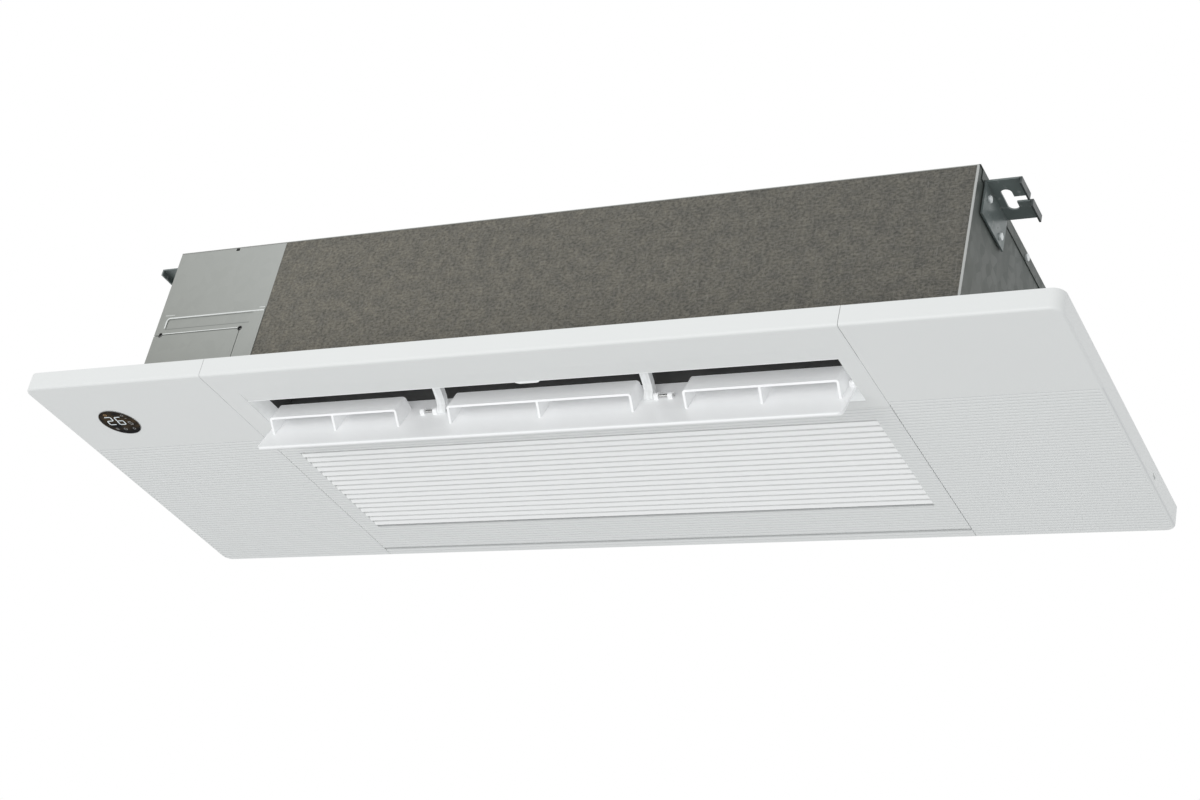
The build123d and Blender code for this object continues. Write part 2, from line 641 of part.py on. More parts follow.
def make_air_duct():
    duct = block(CAVITY_LEFT, CAVITY_RIGHT, DUCT_NEAR_Y - DUCT_WALL, DUCT_NEAR_Y, 0.5, DUCT_NEAR_TOP)
    duct += duct_far_wall(CAVITY_LEFT, CAVITY_RIGHT)
    for x0 in (CAVITY_LEFT, CAVITY_RIGHT - DUCT_WALL + FIT):
        end = [
            (DUCT_NEAR_Y - CUT, 0.5),
            (DUCT_FAR_LOW_Y, 0.5),
            (DUCT_FAR_LOW_Y + CUT, DUCT_FAR_BOTTOM),
            (DUCT_FAR_HIGH_Y + CUT, DUCT_FAR_TOP),
            (DUCT_NEAR_Y - CUT, DUCT_FAR_TOP),
        ]
        duct += prism_x(end, x0, x0 + DUCT_WALL - FIT)
    for x in vane_positions() + [CRANK_X]:
        duct -= rod_y(x, DUCT_NEAR_Y - 5, DUCT_FAR_LOW_Y + 5, VANE_AXIS_Z, VANE_PIN_R + RUNNING)
    save("air_duct", duct)


VANE_NEAR_Y = DUCT_NEAR_Y + 3.0
VANE_FAR_Y = DUCT_FAR_HIGH_Y - 4.0
LUG_Y = LINK_Y - LINK_THICK / 2 - FIT
LUG_THICK = 4.0
VANE_NOTCH = 6.5


def swinging_lug(x):
    """The upright lug with the pin that the link bar moves."""
    pin_z = VANE_AXIS_Z + VANE_CRANK_R
    lug = block(x - VANE_THICK / 2, x + VANE_THICK / 2, LUG_Y - LUG_THICK, LUG_Y, VANE_AXIS_Z, pin_z + 3)
    lug += rod_y(x, LUG_Y - CUT, LINK_Y + LINK_THICK / 2 + 1.5, pin_z, VANE_PIN_R)
    return lug


def vane_solid(x):
    half = VANE_THICK / 2
    low = VANE_AXIS_Z - VANE_DROP
    high = VANE_AXIS_Z + VANE_RISE
    vane = block(x - half, x + half, VANE_NEAR_Y, VANE_FAR_Y, low, high)
    notch_low = VANE_AXIS_Z + VANE_NOTCH
    vane -= block(x - CUT - half, x + CUT + half, LUG_Y, LINK_Y + 4, notch_low, high + CUT)
    vane += swinging_lug(x)
    vane += rod_y(x, DUCT_NEAR_Y - DUCT_WALL, VANE_NEAR_Y + 1, VANE_AXIS_Z, VANE_PIN_R)
    vane += rod_y(x, VANE_FAR_Y - 1, DUCT_FAR_HIGH_Y + 2.5, VANE_AXIS_Z, VANE_PIN_R)
    return vane


def make_vanes():
    for number, x in enumerate(vane_positions(), start=1):
        save("vane_%d" % number, vane_solid(x))
    crank = swinging_lug(CRANK_X)
    crank += rod_y(CRANK_X, LUG_Y - LUG_THICK, DUCT_FAR_LOW_Y + 3, VANE_AXIS_Z, VANE_PIN_R)
    crank += rod_y(CRANK_X, LUG_Y - LUG_THICK, LUG_Y, VANE_AXIS_Z, VANE_PIN_R + 2.5)
    save("vane_crank", crank)


def make_vane_link():
    """The bar that swings all the vanes together; its slots let the pins rise and fall."""
    xs = vane_positions() + [CRANK_X]
    pin_z = VANE_AXIS_Z + VANE_CRANK_R
    y0 = LINK_Y - LINK_THICK / 2
    y1 = LINK_Y + LINK_THICK / 2
    bar = block(xs[0] - 8, xs[-1] + 5.5, y0, y1, pin_z - LINK_HEIGHT / 2 - 0.6, pin_z + LINK_HEIGHT / 2 - 0.6)
    for x in xs:
        bar -= block(x - 2.1, x + 2.1, y0 - CUT, y1 + CUT, pin_z - 4.2, pin_z + 1.9)
    save("vane_link", bar)


VANE_MOTOR_R = 10.0
VANE_MOTOR_STANDOFF = 5.6


def make_vane_motor():
    lean = (DUCT_FAR_LOW_Y - DUCT_FAR_HIGH_Y) / (DUCT_FAR_TOP - DUCT_FAR_BOTTOM)
    y0 = DUCT_FAR_LOW_Y - (VANE_AXIS_Z - DUCT_FAR_BOTTOM) * lean + VANE_MOTOR_STANDOFF
    body = rod_y(CRANK_X, y0, y0 + 16, VANE_AXIS_Z, VANE_MOTOR_R)
    body += block(CRANK_X - 5, CRANK_X + 5, y0 + 4, y0 + 14, VANE_AXIS_Z - 13, VANE_AXIS_Z - 5)
    body -= rod_y(CRANK_X, y0 - CUT, y0 + 10, VANE_AXIS_Z, VANE_PIN_R + RUNNING)
    save("vane_motor", body)
    return y0


# --- intake grille with its filter ---

def slat_section(near, far):
    """A slat's section: a face with a slight slope and a web behind its near edge."""
    low = UNDERSIDE
    return [
        (near, low + SLAT_RECESS),
        (far - 0.6, low),
        (far, low + 0.6),
        (far, low + 2.4),
        (near + SLAT_THICK, low + SLAT_RECESS + 2.0),
        (near + SLAT_THICK, low + SLAT_DEPTH),
        (near, low + SLAT_DEPTH),
    ]


def make_grille_door():
    low = UNDERSIDE
    flange_top = low + GRILLE_FLANGE_HEIGHT
    door = block(GRILLE_LEFT, GRILLE_RIGHT, GRILLE_NEAR_Y, GRILLE_FAR_Y, low, SKIN_TOP)
    far_y = GRILLE_FAR_Y - 4.0
    rim = block(GRILLE_LEFT, GRILLE_RIGHT, GRILLE_NEAR_Y, far_y, low + CUT, flange_top)
    rim -= block(GRILLE_LEFT + GRILLE_FLANGE, GRILLE_RIGHT - GRILLE_FLANGE,
                 GRILLE_NEAR_Y + GRILLE_FLANGE, far_y - GRILLE_FLANGE, low, flange_top + CUT)
    door += rim
    # the far edge is bevelled so that it turns clear of the rear trim
    bevel_y = GRILLE_FAR_Y + 0.1
    bevel = [(bevel_y - 1.6, low - 0.1), (bevel_y, low - 0.1), (bevel_y, low + 1.5)]
    door -= prism_x(bevel, GRILLE_LEFT - CUT, GRILLE_RIGHT + CUT)
    door -= rib_grooves(GRILLE_LEFT - CUT, GRILLE_RIGHT + CUT, GRILLE_NEAR_Y + 2, GRILLE_FAR_Y - 1)
    field_x0 = GRILLE_LEFT + SLOT_MARGIN_LEFT
    field_x1 = GRILLE_RIGHT - SLOT_MARGIN_RIGHT
    field_y0 = SLOT_FIRST_Y - SLOT_GAP / 2
    field_y1 = SLOT_FIRST_Y + (SLOT_COUNT - 1) * SLOT_PITCH + SLOT_GAP / 2
    door -= block(field_x0, field_x1, field_y0, field_y1, low - CUT, flange_top + CUT)
    bars = []
    for index in range(SLOT_COUNT - 1):
        near = SLOT_FIRST_Y + index * SLOT_PITCH + SLOT_GAP / 2
        far = SLOT_FIRST_Y + (index + 1) * SLOT_PITCH - SLOT_GAP / 2
        bars.append(prism_x(slat_section(near, far), field_x0 - CUT, field_x1 + CUT))
    spacing = (field_x1 - field_x0) / (CROSS_RIB_COUNT + 1)
    for index in range(1, CROSS_RIB_COUNT + 1):
        x = field_x0 + index * spacing
        half = CROSS_RIB_THICK / 2
        bars.append(block(x - half, x + half, field_y0 - CUT, field_y1 + CUT, low + 5.0, flange_top))
    end_walls = []
    for x in (field_x0 - 1.5, field_x1):
        end_walls.append(block(x, x + 1.5, field_y0, field_y1, SKIN_TOP - 0.5, flange_top))
    door = door.fuse(*bars, *end_walls)
    for x0 in (GRILLE_LEFT - 2.6, GRILLE_RIGHT - 1):
        door += rod_x(x0, x0 + 3.6, GRILLE_AXIS_Y, GRILLE_Z, GRILLE_PIN_R)
        lug_x = GRILLE_LEFT if x0 < 0 else GRILLE_RIGHT - GRILLE_FLANGE
        door += block(lug_x, lug_x + GRILLE_FLANGE, far_y - 3, GRILLE_AXIS_Y + 1.4,
                      SKIN_TOP - 0.5, GRILLE_Z + 1.8)
    save("grille_door", door)


FILTER_LOW = UNDERSIDE + GRILLE_FLANGE_HEIGHT + FIT
FILTER_LEFT = INTAKE_LEFT + 4.0
FILTER_RIGHT = INTAKE_RIGHT - 4.0
FILTER_NEAR = INTAKE_NEAR + 8.0
FILTER_FAR = INTAKE_FAR - 8.0


def make_filter():
    high = FILTER_LOW + FILTER_THICK
    frame = block(FILTER_LEFT, FILTER_RIGHT, FILTER_NEAR, FILTER_FAR, FILTER_LOW, high)
    bays = 6
    pitch = (FILTER_RIGHT - FILTER_LEFT - FILTER_BORDER) / bays
    y_middle = (FILTER_NEAR + FILTER_FAR) / 2
    meshes = []
    for index in range(bays):
        x0 = FILTER_LEFT + FILTER_BORDER + index * pitch
        x1 = x0 + pitch - FILTER_BORDER
        for y0, y1 in ((FILTER_NEAR + FILTER_BORDER, y_middle - FILTER_BORDER / 2),
                       (y_middle + FILTER_BORDER / 2, FILTER_FAR - FILTER_BORDER)):
            frame -= block(x0, x1, y0, y1, FILTER_LOW - CUT, high + CUT)
            meshes.append(block(x0 + RUNNING, x1 - RUNNING, y0 + RUNNING, y1 - RUNNING,
                                FILTER_LOW + 1.0, FILTER_LOW + 1.8))
    save("filter_frame", frame)
    save("filter_mesh", *meshes)


# --- sheet-metal body ---

BRACKET_PLACES = (
    (BODY_FRONT + BRACKET_FRONT_INSET, BODY_HEIGHT - BRACKET_FRONT_DROP),
    (BODY_BACK - BRACKET_REAR_INSET, BODY_HEIGHT - BRACKET_REAR_DROP),
)


def bracket_screws(y, top):
    """Where the two fixing screws of a bracket at y stand, as (y, z)."""
    z = top - BRACKET_FLANGE + 9.0
    return [(y - 20.0, z + 16.0), (y + 20.0, z)]


def coil_point(along, above):
    """A place on the evaporator's slope, as (y, z)."""
    y = COIL_LOW_Y + along * math.cos(COIL_SLOPE) - above * math.sin(COIL_SLOPE)
    z = COIL_LOW_Z + along * math.sin(COIL_SLOPE) + above * math.cos(COIL_SLOPE)
    return (y, z)


def tube_point(row, column):
    """Axis of a tube: row counts up the slope, column is 0 above and 1 below."""
    above = COIL_COLUMN_GAP / 2 if column == 0 else -COIL_COLUMN_GAP / 2
    return coil_point(COIL_ROW_START + row * COIL_ROW_PITCH, above)


GAS_YZ = tube_point(COIL_ROWS - 1, 0)
LIQUID_YZ = tube_point(COIL_ROWS - 1, 1)
LIQUID_BEND_R = 18.0
PUMP_X = PARTITION_LEFT - 87.7
PUMP_Y = BODY_BACK - 97.5
PUMP_TOP = 108.0
SPOUT_Z = PUMP_TOP + 16.0
LIQUID_OUT_YZ = (PUMP_Y + 12.0, SPOUT_Z + 34.0)
CABLE_Y = BODY_FRONT + 126.5
CABLE_Z = 90.0
CABLE_R = 8.0


def side_plate(sign):
    """A side plate with a bottom flange turned inward."""
    xs = sorted((sign * SIDE_IN, sign * SIDE_OUT))
    back = BODY_BACK - SHEET - FIT
    front = BODY_FRONT if sign > 0 else BODY_FRONT + SHEET + FIT
    plate = block(xs[0], xs[1], front, back, BODY_FOOT, PLATE_TOP)
    flange = sorted((sign * (SIDE_IN - BOTTOM_FLANGE), sign * SIDE_OUT))
    plate += block(flange[0], flange[1], BODY_FRONT + 6, back, BODY_FOOT, BODY_FOOT + SHEET)
    for place in BRACKET_PLACES:
        for screw_y, screw_z in bracket_screws(*place):
            plate -= rod_x(xs[0] - 1, xs[1] + 1, screw_y, screw_z, SCREW_R + 0.1)
    return plate


def make_body_plates():
    top = block(-BODY_X, BODY_X, BODY_FRONT, BODY_BACK, ROOF, BODY_HEIGHT)
    for sign in (-1, 1):
        xs = sorted((sign * (SIDE_OUT + 0.2), sign * BODY_X))
        top += block(xs[0], xs[1], BODY_FRONT + 8, BODY_BACK - 8, ROOF - TOP_FLANGE, ROOF + 0.5)
    save("top_plate", top)

    front_x0 = FELT_START_X + 1
    front = block(front_x0, SIDE_IN - 0.2, FRONT_PLATE_Y, FRONT_PLATE_Y + SHEET, BODY_FOOT, PLATE_TOP)
    save("front_plate", front)
    felt = block(FELT_START_X, SIDE_IN - 0.2, BODY_FRONT + 0.1, BODY_FRONT + FELT_THICK, BODY_FOOT, PLATE_TOP)
    save("front_felt", felt)

    rear = block(-SIDE_IN + 0.2, SIDE_IN - 0.2, BODY_BACK - SHEET, BODY_BACK, BODY_FOOT, PLATE_TOP)
    rear += block(-SIDE_IN + BOTTOM_FLANGE + 2, SIDE_IN - BOTTOM_FLANGE - 2,
                  BODY_BACK - 8, BODY_BACK, BODY_FOOT, BODY_FOOT + SHEET)
    save("rear_plate", rear)

    right = side_plate(1)
    right += block(SIDE_OUT - FELT_LIP, SIDE_OUT, BODY_FRONT - 0.9, BODY_FRONT, BODY_FOOT, PLATE_TOP)
    right += block(SIDE_IN, SIDE_OUT, BODY_FRONT - 0.9, BODY_FRONT + 1, BODY_FOOT, PLATE_TOP)
    save("right_side_plate", right)

    left = side_plate(-1)
    holes = [
        (GAS_YZ[0], GAS_YZ[1], GAS_PIPE_R + 2.0),
        (LIQUID_OUT_YZ[0], LIQUID_OUT_YZ[1], LIQUID_PIPE_R + 2.0),
        (PUMP_Y, SPOUT_Z, SPOUT_R + FIT),
        (CABLE_Y, CABLE_Z, CABLE_R + 3.0),
    ]
    for y, z, r in holes:
        left -= rod_x(-SIDE_OUT - 1, -SIDE_IN + 1, y, z, r)
    save("left_side_plate", left)


COVER_LEFT = -BODY_X + 0.2
COVER_RIGHT = FELT_START_X - 0.3
EMBOSS_TOP = 98.0
EMBOSS_LOW = 78.0
EMBOSS_LEFT = COVER_LEFT + 12.8
EMBOSS_RIGHT = COVER_RIGHT - 14.7
DOOR_TOP = 72.5
DOOR_LEFT = COVER_LEFT + 9.8
DOOR_RIGHT = COVER_RIGHT - 26.7
NOTCH_X = COVER_LEFT + 81.3
NOTCH_HALF = 2.5


def make_left_front_cover():
    """The plain metal end of the front: an embossed panel over a knock-out service flap."""
    y0 = BODY_FRONT
    y1 = BODY_FRONT + SHEET
    cover = block(COVER_LEFT, COVER_RIGHT, y0, y1, BODY_FOOT, PLATE_TOP)
    # the joggle: below it the sheet stands 1 mm further out
    cover += block(COVER_LEFT + 8, COVER_RIGHT, y0 - 0.9, y1 - 0.2, BODY_FOOT, EMBOSS_TOP)
    emboss = Pos((EMBOSS_LEFT + EMBOSS_RIGHT) / 2, y0 - 1.2, (EMBOSS_TOP + EMBOSS_LOW) / 2 - 1.5)
    length = EMBOSS_RIGHT - EMBOSS_LEFT
    cover -= emboss * extrude(Plane.XZ * RectangleRounded(length, 15.0, 4.0), 1.0, both=True)
    slit = 1.0
    cover -= block(DOOR_LEFT, DOOR_RIGHT, y0 - 2, y0 + 0.2, DOOR_TOP - slit, DOOR_TOP)
    cover -= block(DOOR_RIGHT - slit, DOOR_RIGHT, y0 - 2, y0 + 0.2, BODY_FOOT - 1, DOOR_TOP)
    cover -= block(COVER_LEFT - 1, DOOR_LEFT, y0 - 2, y1 + 1, DOOR_TOP - slit, DOOR_TOP)
    for x in (DOOR_LEFT, DOOR_RIGHT - 0.5):
        cover -= rod_y(x, y0 - 3, y1 + 2, DOOR_TOP - 0.5, 2.0)
    notch = (NOTCH_X - NOTCH_HALF, NOTCH_X + NOTCH_HALF)
    cover -= block(*notch, y0 - 2, y1 + 1, PLATE_TOP - 3.5, PLATE_TOP + 1)
    save("left_front_cover", cover)


def make_foam():
    """Foam lining under the top plate and inside the rear plate."""
    back = BODY_BACK - SHEET - FIT
    roof = block(CAVITY_LEFT, CAVITY_RIGHT, FRONT_PLATE_Y + SHEET + FIT, back, FOAM_BOTTOM, PLATE_TOP)
    rear = block(CAVITY_LEFT, CAVITY_RIGHT, back - FOAM_THICK - 1.5, back,
                 BODY_FOOT + SHEET + FIT, FOAM_BOTTOM)
    save("foam_liner", roof + rear)


def fan_ring(radius, degrees):
    """A point on a circle about the fan's axis, as (y, z)."""
    angle = math.radians(degrees)
    return (FAN_Y + radius * math.cos(angle), FAN_Z + radius * math.sin(angle))


def make_scroll_casing():
    """The foam scroll that leads the air round the fan and down to the outlet."""
    outer_y = FRONT_PLATE_Y + SHEET + FIT
    leg_y = DUCT_NEAR_Y - DUCT_WALL - FIT
    wall_y = DUCT_NEAR_Y - 1.0
    roof = FOAM_BOTTOM - FIT
    crown = fan_ring(66.0, 90)
    end = fan_ring(56.0, 40)
    edges = [
        Line((outer_y, BODY_FOOT), (leg_y, BODY_FOOT)),
        Line((leg_y, BODY_FOOT), (leg_y, DUCT_NEAR_TOP + FIT)),
        Line((leg_y, DUCT_NEAR_TOP + FIT), (wall_y, DUCT_NEAR_TOP + FIT)),
        Line((wall_y, DUCT_NEAR_TOP + FIT), (wall_y, FAN_Z)),
        ThreePointArc((wall_y, FAN_Z), fan_ring(79.0, 135), crown),
        ThreePointArc(crown, fan_ring(60.0, 65), end),
        Line(end, (end[0], roof)),
        Line((end[0], roof), (outer_y, roof)),
        Line((outer_y, roof), (outer_y, BODY_FOOT)),
    ]
    save("scroll_casing", profile_x(edges, CAVITY_LEFT, CAVITY_RIGHT))


PAN_FLOOR = 20.0
PAN_BASE = THROAT_BACK_RISE + 0.5
PAN_FAR_Y = COIL_LOW_Y + 31.0
PAN_LIP_Z = 38.0
PAN_WALL = 5.0


def make_drain_pan(motor_y):
    """Drain pan under the evaporator; its near side is the tongue beside the fan."""
    gap = FAN_R + 7.0
    base_y = DUCT_FAR_LOW_Y + DUCT_WALL + FIT
    tongue = (DUCT_FAR_HIGH_Y + DUCT_WALL + FIT, DUCT_FAR_TOP)
    arc_start = fan_ring(gap, 233.4)
    arc_end = fan_ring(gap, 295.0)
    trough_y = arc_end[0] + 4.0
    edges = [
        Line((base_y, PAN_BASE), (PAN_FAR_Y, PAN_BASE)),
        Line((PAN_FAR_Y, PAN_BASE), (PAN_FAR_Y, PAN_LIP_Z)),
        Line((PAN_FAR_Y, PAN_LIP_Z), (PAN_FAR_Y - PAN_WALL, PAN_LIP_Z)),
        Line((PAN_FAR_Y - PAN_WALL, PAN_LIP_Z), (PAN_FAR_Y - PAN_WALL, PAN_FLOOR)),
        Line((PAN_FAR_Y - PAN_WALL, PAN_FLOOR), (trough_y, PAN_FLOOR)),
        Line((trough_y, PAN_FLOOR), arc_end),
        ThreePointArc(arc_end, fan_ring(gap, 264.0), arc_start),
        Line(arc_start, tongue),
        Line(tongue, (base_y, PAN_BASE)),
    ]
    pan = profile_x(edges, CAVITY_LEFT, CAVITY_RIGHT)
    pocket = VANE_MOTOR_R + 1.0
    pan -= block(CRANK_X - pocket, CAVITY_RIGHT + CUT, motor_y - 9, motor_y + 17,
                 VANE_AXIS_Z - 13.3, VANE_AXIS_Z + pocket + 12)
    save("drain_pan", pan)


def make_partitions():
    """Two metal partitions that carry the evaporator, the fan's bearing and the motor."""
    plates = []
    for x in (PARTITION_LEFT - SHEET, PARTITION_RIGHT):
        plate = block(x, x + SHEET, FRONT_PLATE_Y + SHEET + FIT, BODY_BACK - SHEET - FIT,
                      BODY_FOOT + SHEET + FIT, PLATE_TOP - FIT)
        for row in range(COIL_ROWS):
            for column in (0, 1):
                y, z = tube_point(row, column)
                plate -= rod_x(x - 1, x + 2, y, z, TUBE_R + 0.1)
        plate -= rod_x(x - 1, x + 2, FAN_Y, FAN_Z, SHAFT_R + 3.0)
        plates.append(plate)
    save("partitions", *plates)


# --- cross-flow fan ---

def make_fan():
    discs = []
    step = (FAN_END_X - FAN_START_X - FAN_DISC_THICK) / (FAN_DISCS - 1)
    for index in range(FAN_DISCS):
        x = FAN_START_X + index * step
        discs.append(rod_x(x, x + FAN_DISC_THICK, FAN_Y, FAN_Z, FAN_R - 1.0))
    hub = 18.0
    discs.append(rod_x(FAN_START_X, FAN_START_X + hub, FAN_Y, FAN_Z, SHAFT_R + 6))
    discs.append(rod_x(FAN_END_X - hub, FAN_END_X, FAN_Y, FAN_Z, SHAFT_R + 6))
    blades = []
    for index in range(FAN_BLADES):
        start = 360.0 * index / FAN_BLADES
        root = fan_ring(FAN_R - 12.0, start)
        root_back = fan_ring(FAN_R - 12.0, start + 2.4)
        tip = fan_ring(FAN_R - 0.2, start + 9.0)
        tip_back = fan_ring(FAN_R - 0.2, start + 10.6)
        blades.append(prism_x([root, root_back, tip_back, tip], FAN_START_X, FAN_END_X))
    rotor = discs[0].fuse(*discs[1:], *blades)
    for x0, x1 in ((FAN_START_X - 1, FAN_START_X + hub), (FAN_END_X - hub, FAN_END_X + 1)):
        rotor -= rod_x(x0, x1, FAN_Y, FAN_Z, SHAFT_R)
    save("fan_rotor", rotor)
    near = rod_x(PARTITION_LEFT + 0.5, FAN_START_X + hub, FAN_Y, FAN_Z, SHAFT_R - 0.01)
    far = rod_x(FAN_END_X - hub, FAN_MOTOR_X + FAN_MOTOR_LENGTH - 10, FAN_Y, FAN_Z, SHAFT_R - 0.01)
    save("fan_shafts", near, far)


FAN_MOTOR_X = PARTITION_RIGHT + SHEET + 8.0


def make_fan_motor():
    x1 = FAN_MOTOR_X + FAN_MOTOR_LENGTH
    motor = rod_x(FAN_MOTOR_X, x1, FAN_Y, FAN_Z, FAN_MOTOR_R)
    motor = fillet(motor.edges().filter_by(GeomType.CIRCLE), 4.0)
    motor += rod_x(x1 - 1, x1 + 5, FAN_Y, FAN_Z, 14.0)
    motor -= rod_x(FAN_MOTOR_X - CUT, x1 - 8, FAN_Y, FAN_Z, SHAFT_R + RUNNING)
    save("fan_motor", motor)
    x0 = PARTITION_RIGHT + SHEET + 0.1
    bracket = block(x0, x0 + 2, FAN_Y - 52, FAN_Y + 46, FAN_Z - 48, FAN_Z + 48)
    ring = rod_x(x0 + 1, FAN_MOTOR_X + 24, FAN_Y, FAN_Z, FAN_MOTOR_R + 3.0)
    bracket += ring
    bracket -= rod_x(x0 + 2, FAN_MOTOR_X + 25, FAN_Y, FAN_Z, FAN_MOTOR_R + 0.2)
    bracket -= rod_x(x0 - 1, x0 + 5, FAN_Y, FAN_Z, SHAFT_R + 3.0)
    save("motor_bracket", bracket)


def make_fan_bearing():
    x0 = PARTITION_LEFT + 0.1
    x1 = FAN_START_X - 1.5
    bush = rod_x(x0 + 2, x1, FAN_Y, FAN_Z, SHAFT_R + 3.0)
    bush -= rod_x(x0, x1 + 1, FAN_Y, FAN_Z, SHAFT_R + RUNNING)
    mount = rod_x(x0, x1 - 1, FAN_Y, FAN_Z, SHAFT_R + 11.0)
    mount -= rod_x(x0 - 1, x1 + 1, FAN_Y, FAN_Z, SHAFT_R + 3.1)
    save("fan_bearing", bush, mount)


# --- evaporator ---

FIN_START_X = PARTITION_LEFT + 6.0
FIN_END_X = PARTITION_RIGHT - 6.0
COIL_END_X = PARTITION_LEFT - SHEET - 1.5


def make_evaporator():
    half = COIL_THICK / 2
    low_corners = [coil_point(0, half), coil_point(0, -half)]
    high_corners = [coil_point(COIL_LENGTH, -half), coil_point(COIL_LENGTH, half)]
    fin = prism_x(low_corners + high_corners, 0, FIN_THICK)
    for row in range(COIL_ROWS):
        for column in (0, 1):
            y, z = tube_point(row, column)
            fin -= rod_x(-1, 2, y, z, TUBE_R + RUNNING)
    pitch = (FIN_END_X - FIN_START_X - FIN_THICK) / (FIN_COUNT - 1)
    fins = [Pos(FIN_START_X + index * pitch, 0, 0) * fin for index in range(FIN_COUNT)]
    save("evaporator_fins", *fins)

    left_x = COIL_END_X
    right_x = PARTITION_RIGHT + SHEET + 1.5
    tubes = []
    for row in range(COIL_ROWS):
        for column in (0, 1):
            y, z = tube_point(row, column)
            tubes.append(rod_x(left_x, right_x, y, z, TUBE_R))
    for row in range(0, COIL_ROWS - 1, 2):
        for column in (0, 1):
            tubes.append(return_bend(tube_point(row, column), tube_point(row + 1, column), right_x, 1))
    for row in range(1, COIL_ROWS - 1, 2):
        for column in (0, 1):
            tubes.append(return_bend(tube_point(row, column), tube_point(row + 1, column), left_x, -1))
    tubes.append(return_bend(tube_point(0, 0), tube_point(0, 1), left_x, -1))
    save("evaporator_tubes", *tubes)


def return_bend(first, second, x, outward):
    """A half-turn bend that joins the ends of two tubes at x."""
    middle = Vector(x, (first[0] + second[0]) / 2, (first[1] + second[1]) / 2)
    across = Vector(0, second[0] - first[0], second[1] - first[1]).normalized()
    axis_dir = Vector(outward, 0, 0).cross(across)
    mouth = Plane(origin=(x, first[0], first[1]), z_dir=(outward, 0, 0))
    circle = mouth * Circle(TUBE_R)
    return revolve(circle, Axis(middle, axis_dir), 180)


def hexagon_nut(x0, x1, y, z, flats, bore):
    outline = RegularPolygon(flats / math.sqrt(3), 6)
    nut = extrude(Plane(origin=(x0, y, z), z_dir=(1, 0, 0)) * outline, x1 - x0)
    return nut - rod_x(x0 - 1, x1 + 1, y, z, bore)


def tube_along(points, radius, bore):
    """A pipe whose axis runs through the points, with rounded bends."""
    path = FilletPolyline(*points, radius=LIQUID_BEND_R)
    ring = Circle(radius) - Circle(bore)
    return sweep(Plane(origin=path @ 0, z_dir=path % 0) * ring, path)


def reducer(y, z, radius):
    """The cone that joins a pipe to the coil's tube."""
    return Pos(COIL_END_X - 4, y, z) * Rot(0, 90, 0) * Cone(radius, TUBE_R, 8)


def flare_union(y, z, pipe_r, flats, stub_r, stub_length):
    """The brass end of a pipe: a hexagon round the pipe and a stub for the joint outside it."""
    end = -SIDE_OUT - PIPE_REACH
    seat = end + stub_length
    union = rod_x(end, seat + 0.5, y, z, stub_r) - rod_x(end - 1, seat + 2, y, z, pipe_r - PIPE_WALL)
    union += hexagon_nut(seat, seat + 14, y, z, flats, pipe_r - PIPE_WALL)
    return union - rod_x(seat + 2, seat + 15, y, z, pipe_r + RUNNING)


def make_pipes():
    """Gas and liquid pipes from the coil's two open ends out through the left side."""
    pipe_x = COIL_END_X - 8
    gas_end = -SIDE_OUT - PIPE_REACH + GAS_STUB_LENGTH + 2
    gas = rod_x(gas_end, pipe_x, *GAS_YZ, GAS_PIPE_R)
    gas -= rod_x(gas_end - 1, pipe_x + 1, *GAS_YZ, GAS_PIPE_R - PIPE_WALL)
    gas += reducer(*GAS_YZ, GAS_PIPE_R)
    end = -SIDE_OUT - PIPE_REACH + LIQUID_STUB_LENGTH + 2
    route = [
        (pipe_x, *LIQUID_YZ),
        (pipe_x - 23, *LIQUID_YZ),
        (pipe_x - 63, *LIQUID_OUT_YZ),
        (end, *LIQUID_OUT_YZ),
    ]
    liquid = tube_along(route, LIQUID_PIPE_R, LIQUID_PIPE_R - PIPE_WALL)
    liquid += reducer(*LIQUID_YZ, LIQUID_PIPE_R)
    save("refrigerant_pipes", gas, liquid)
    gas_union = flare_union(*GAS_YZ, GAS_PIPE_R, 24.0, GAS_STUB_R, GAS_STUB_LENGTH)
    liquid_union = flare_union(*LIQUID_OUT_YZ, LIQUID_PIPE_R, 17.0, LIQUID_STUB_R, LIQUID_STUB_LENGTH)
    save("flare_nuts", gas_union, liquid_union)


# --- condensate pump in the left compartment ---

SUMP = (-SIDE_IN + 12.0, PARTITION_LEFT - 24.7, BODY_BACK - 125.5, BODY_BACK - 20.5)
SUMP_TOP = 46.0
SUMP_WALL = 4.0
PUMP_BODY_LOW = 75.0
FLOAT_X = PARTITION_LEFT - 52.7
FLOAT_Y = BODY_BACK - 75.5


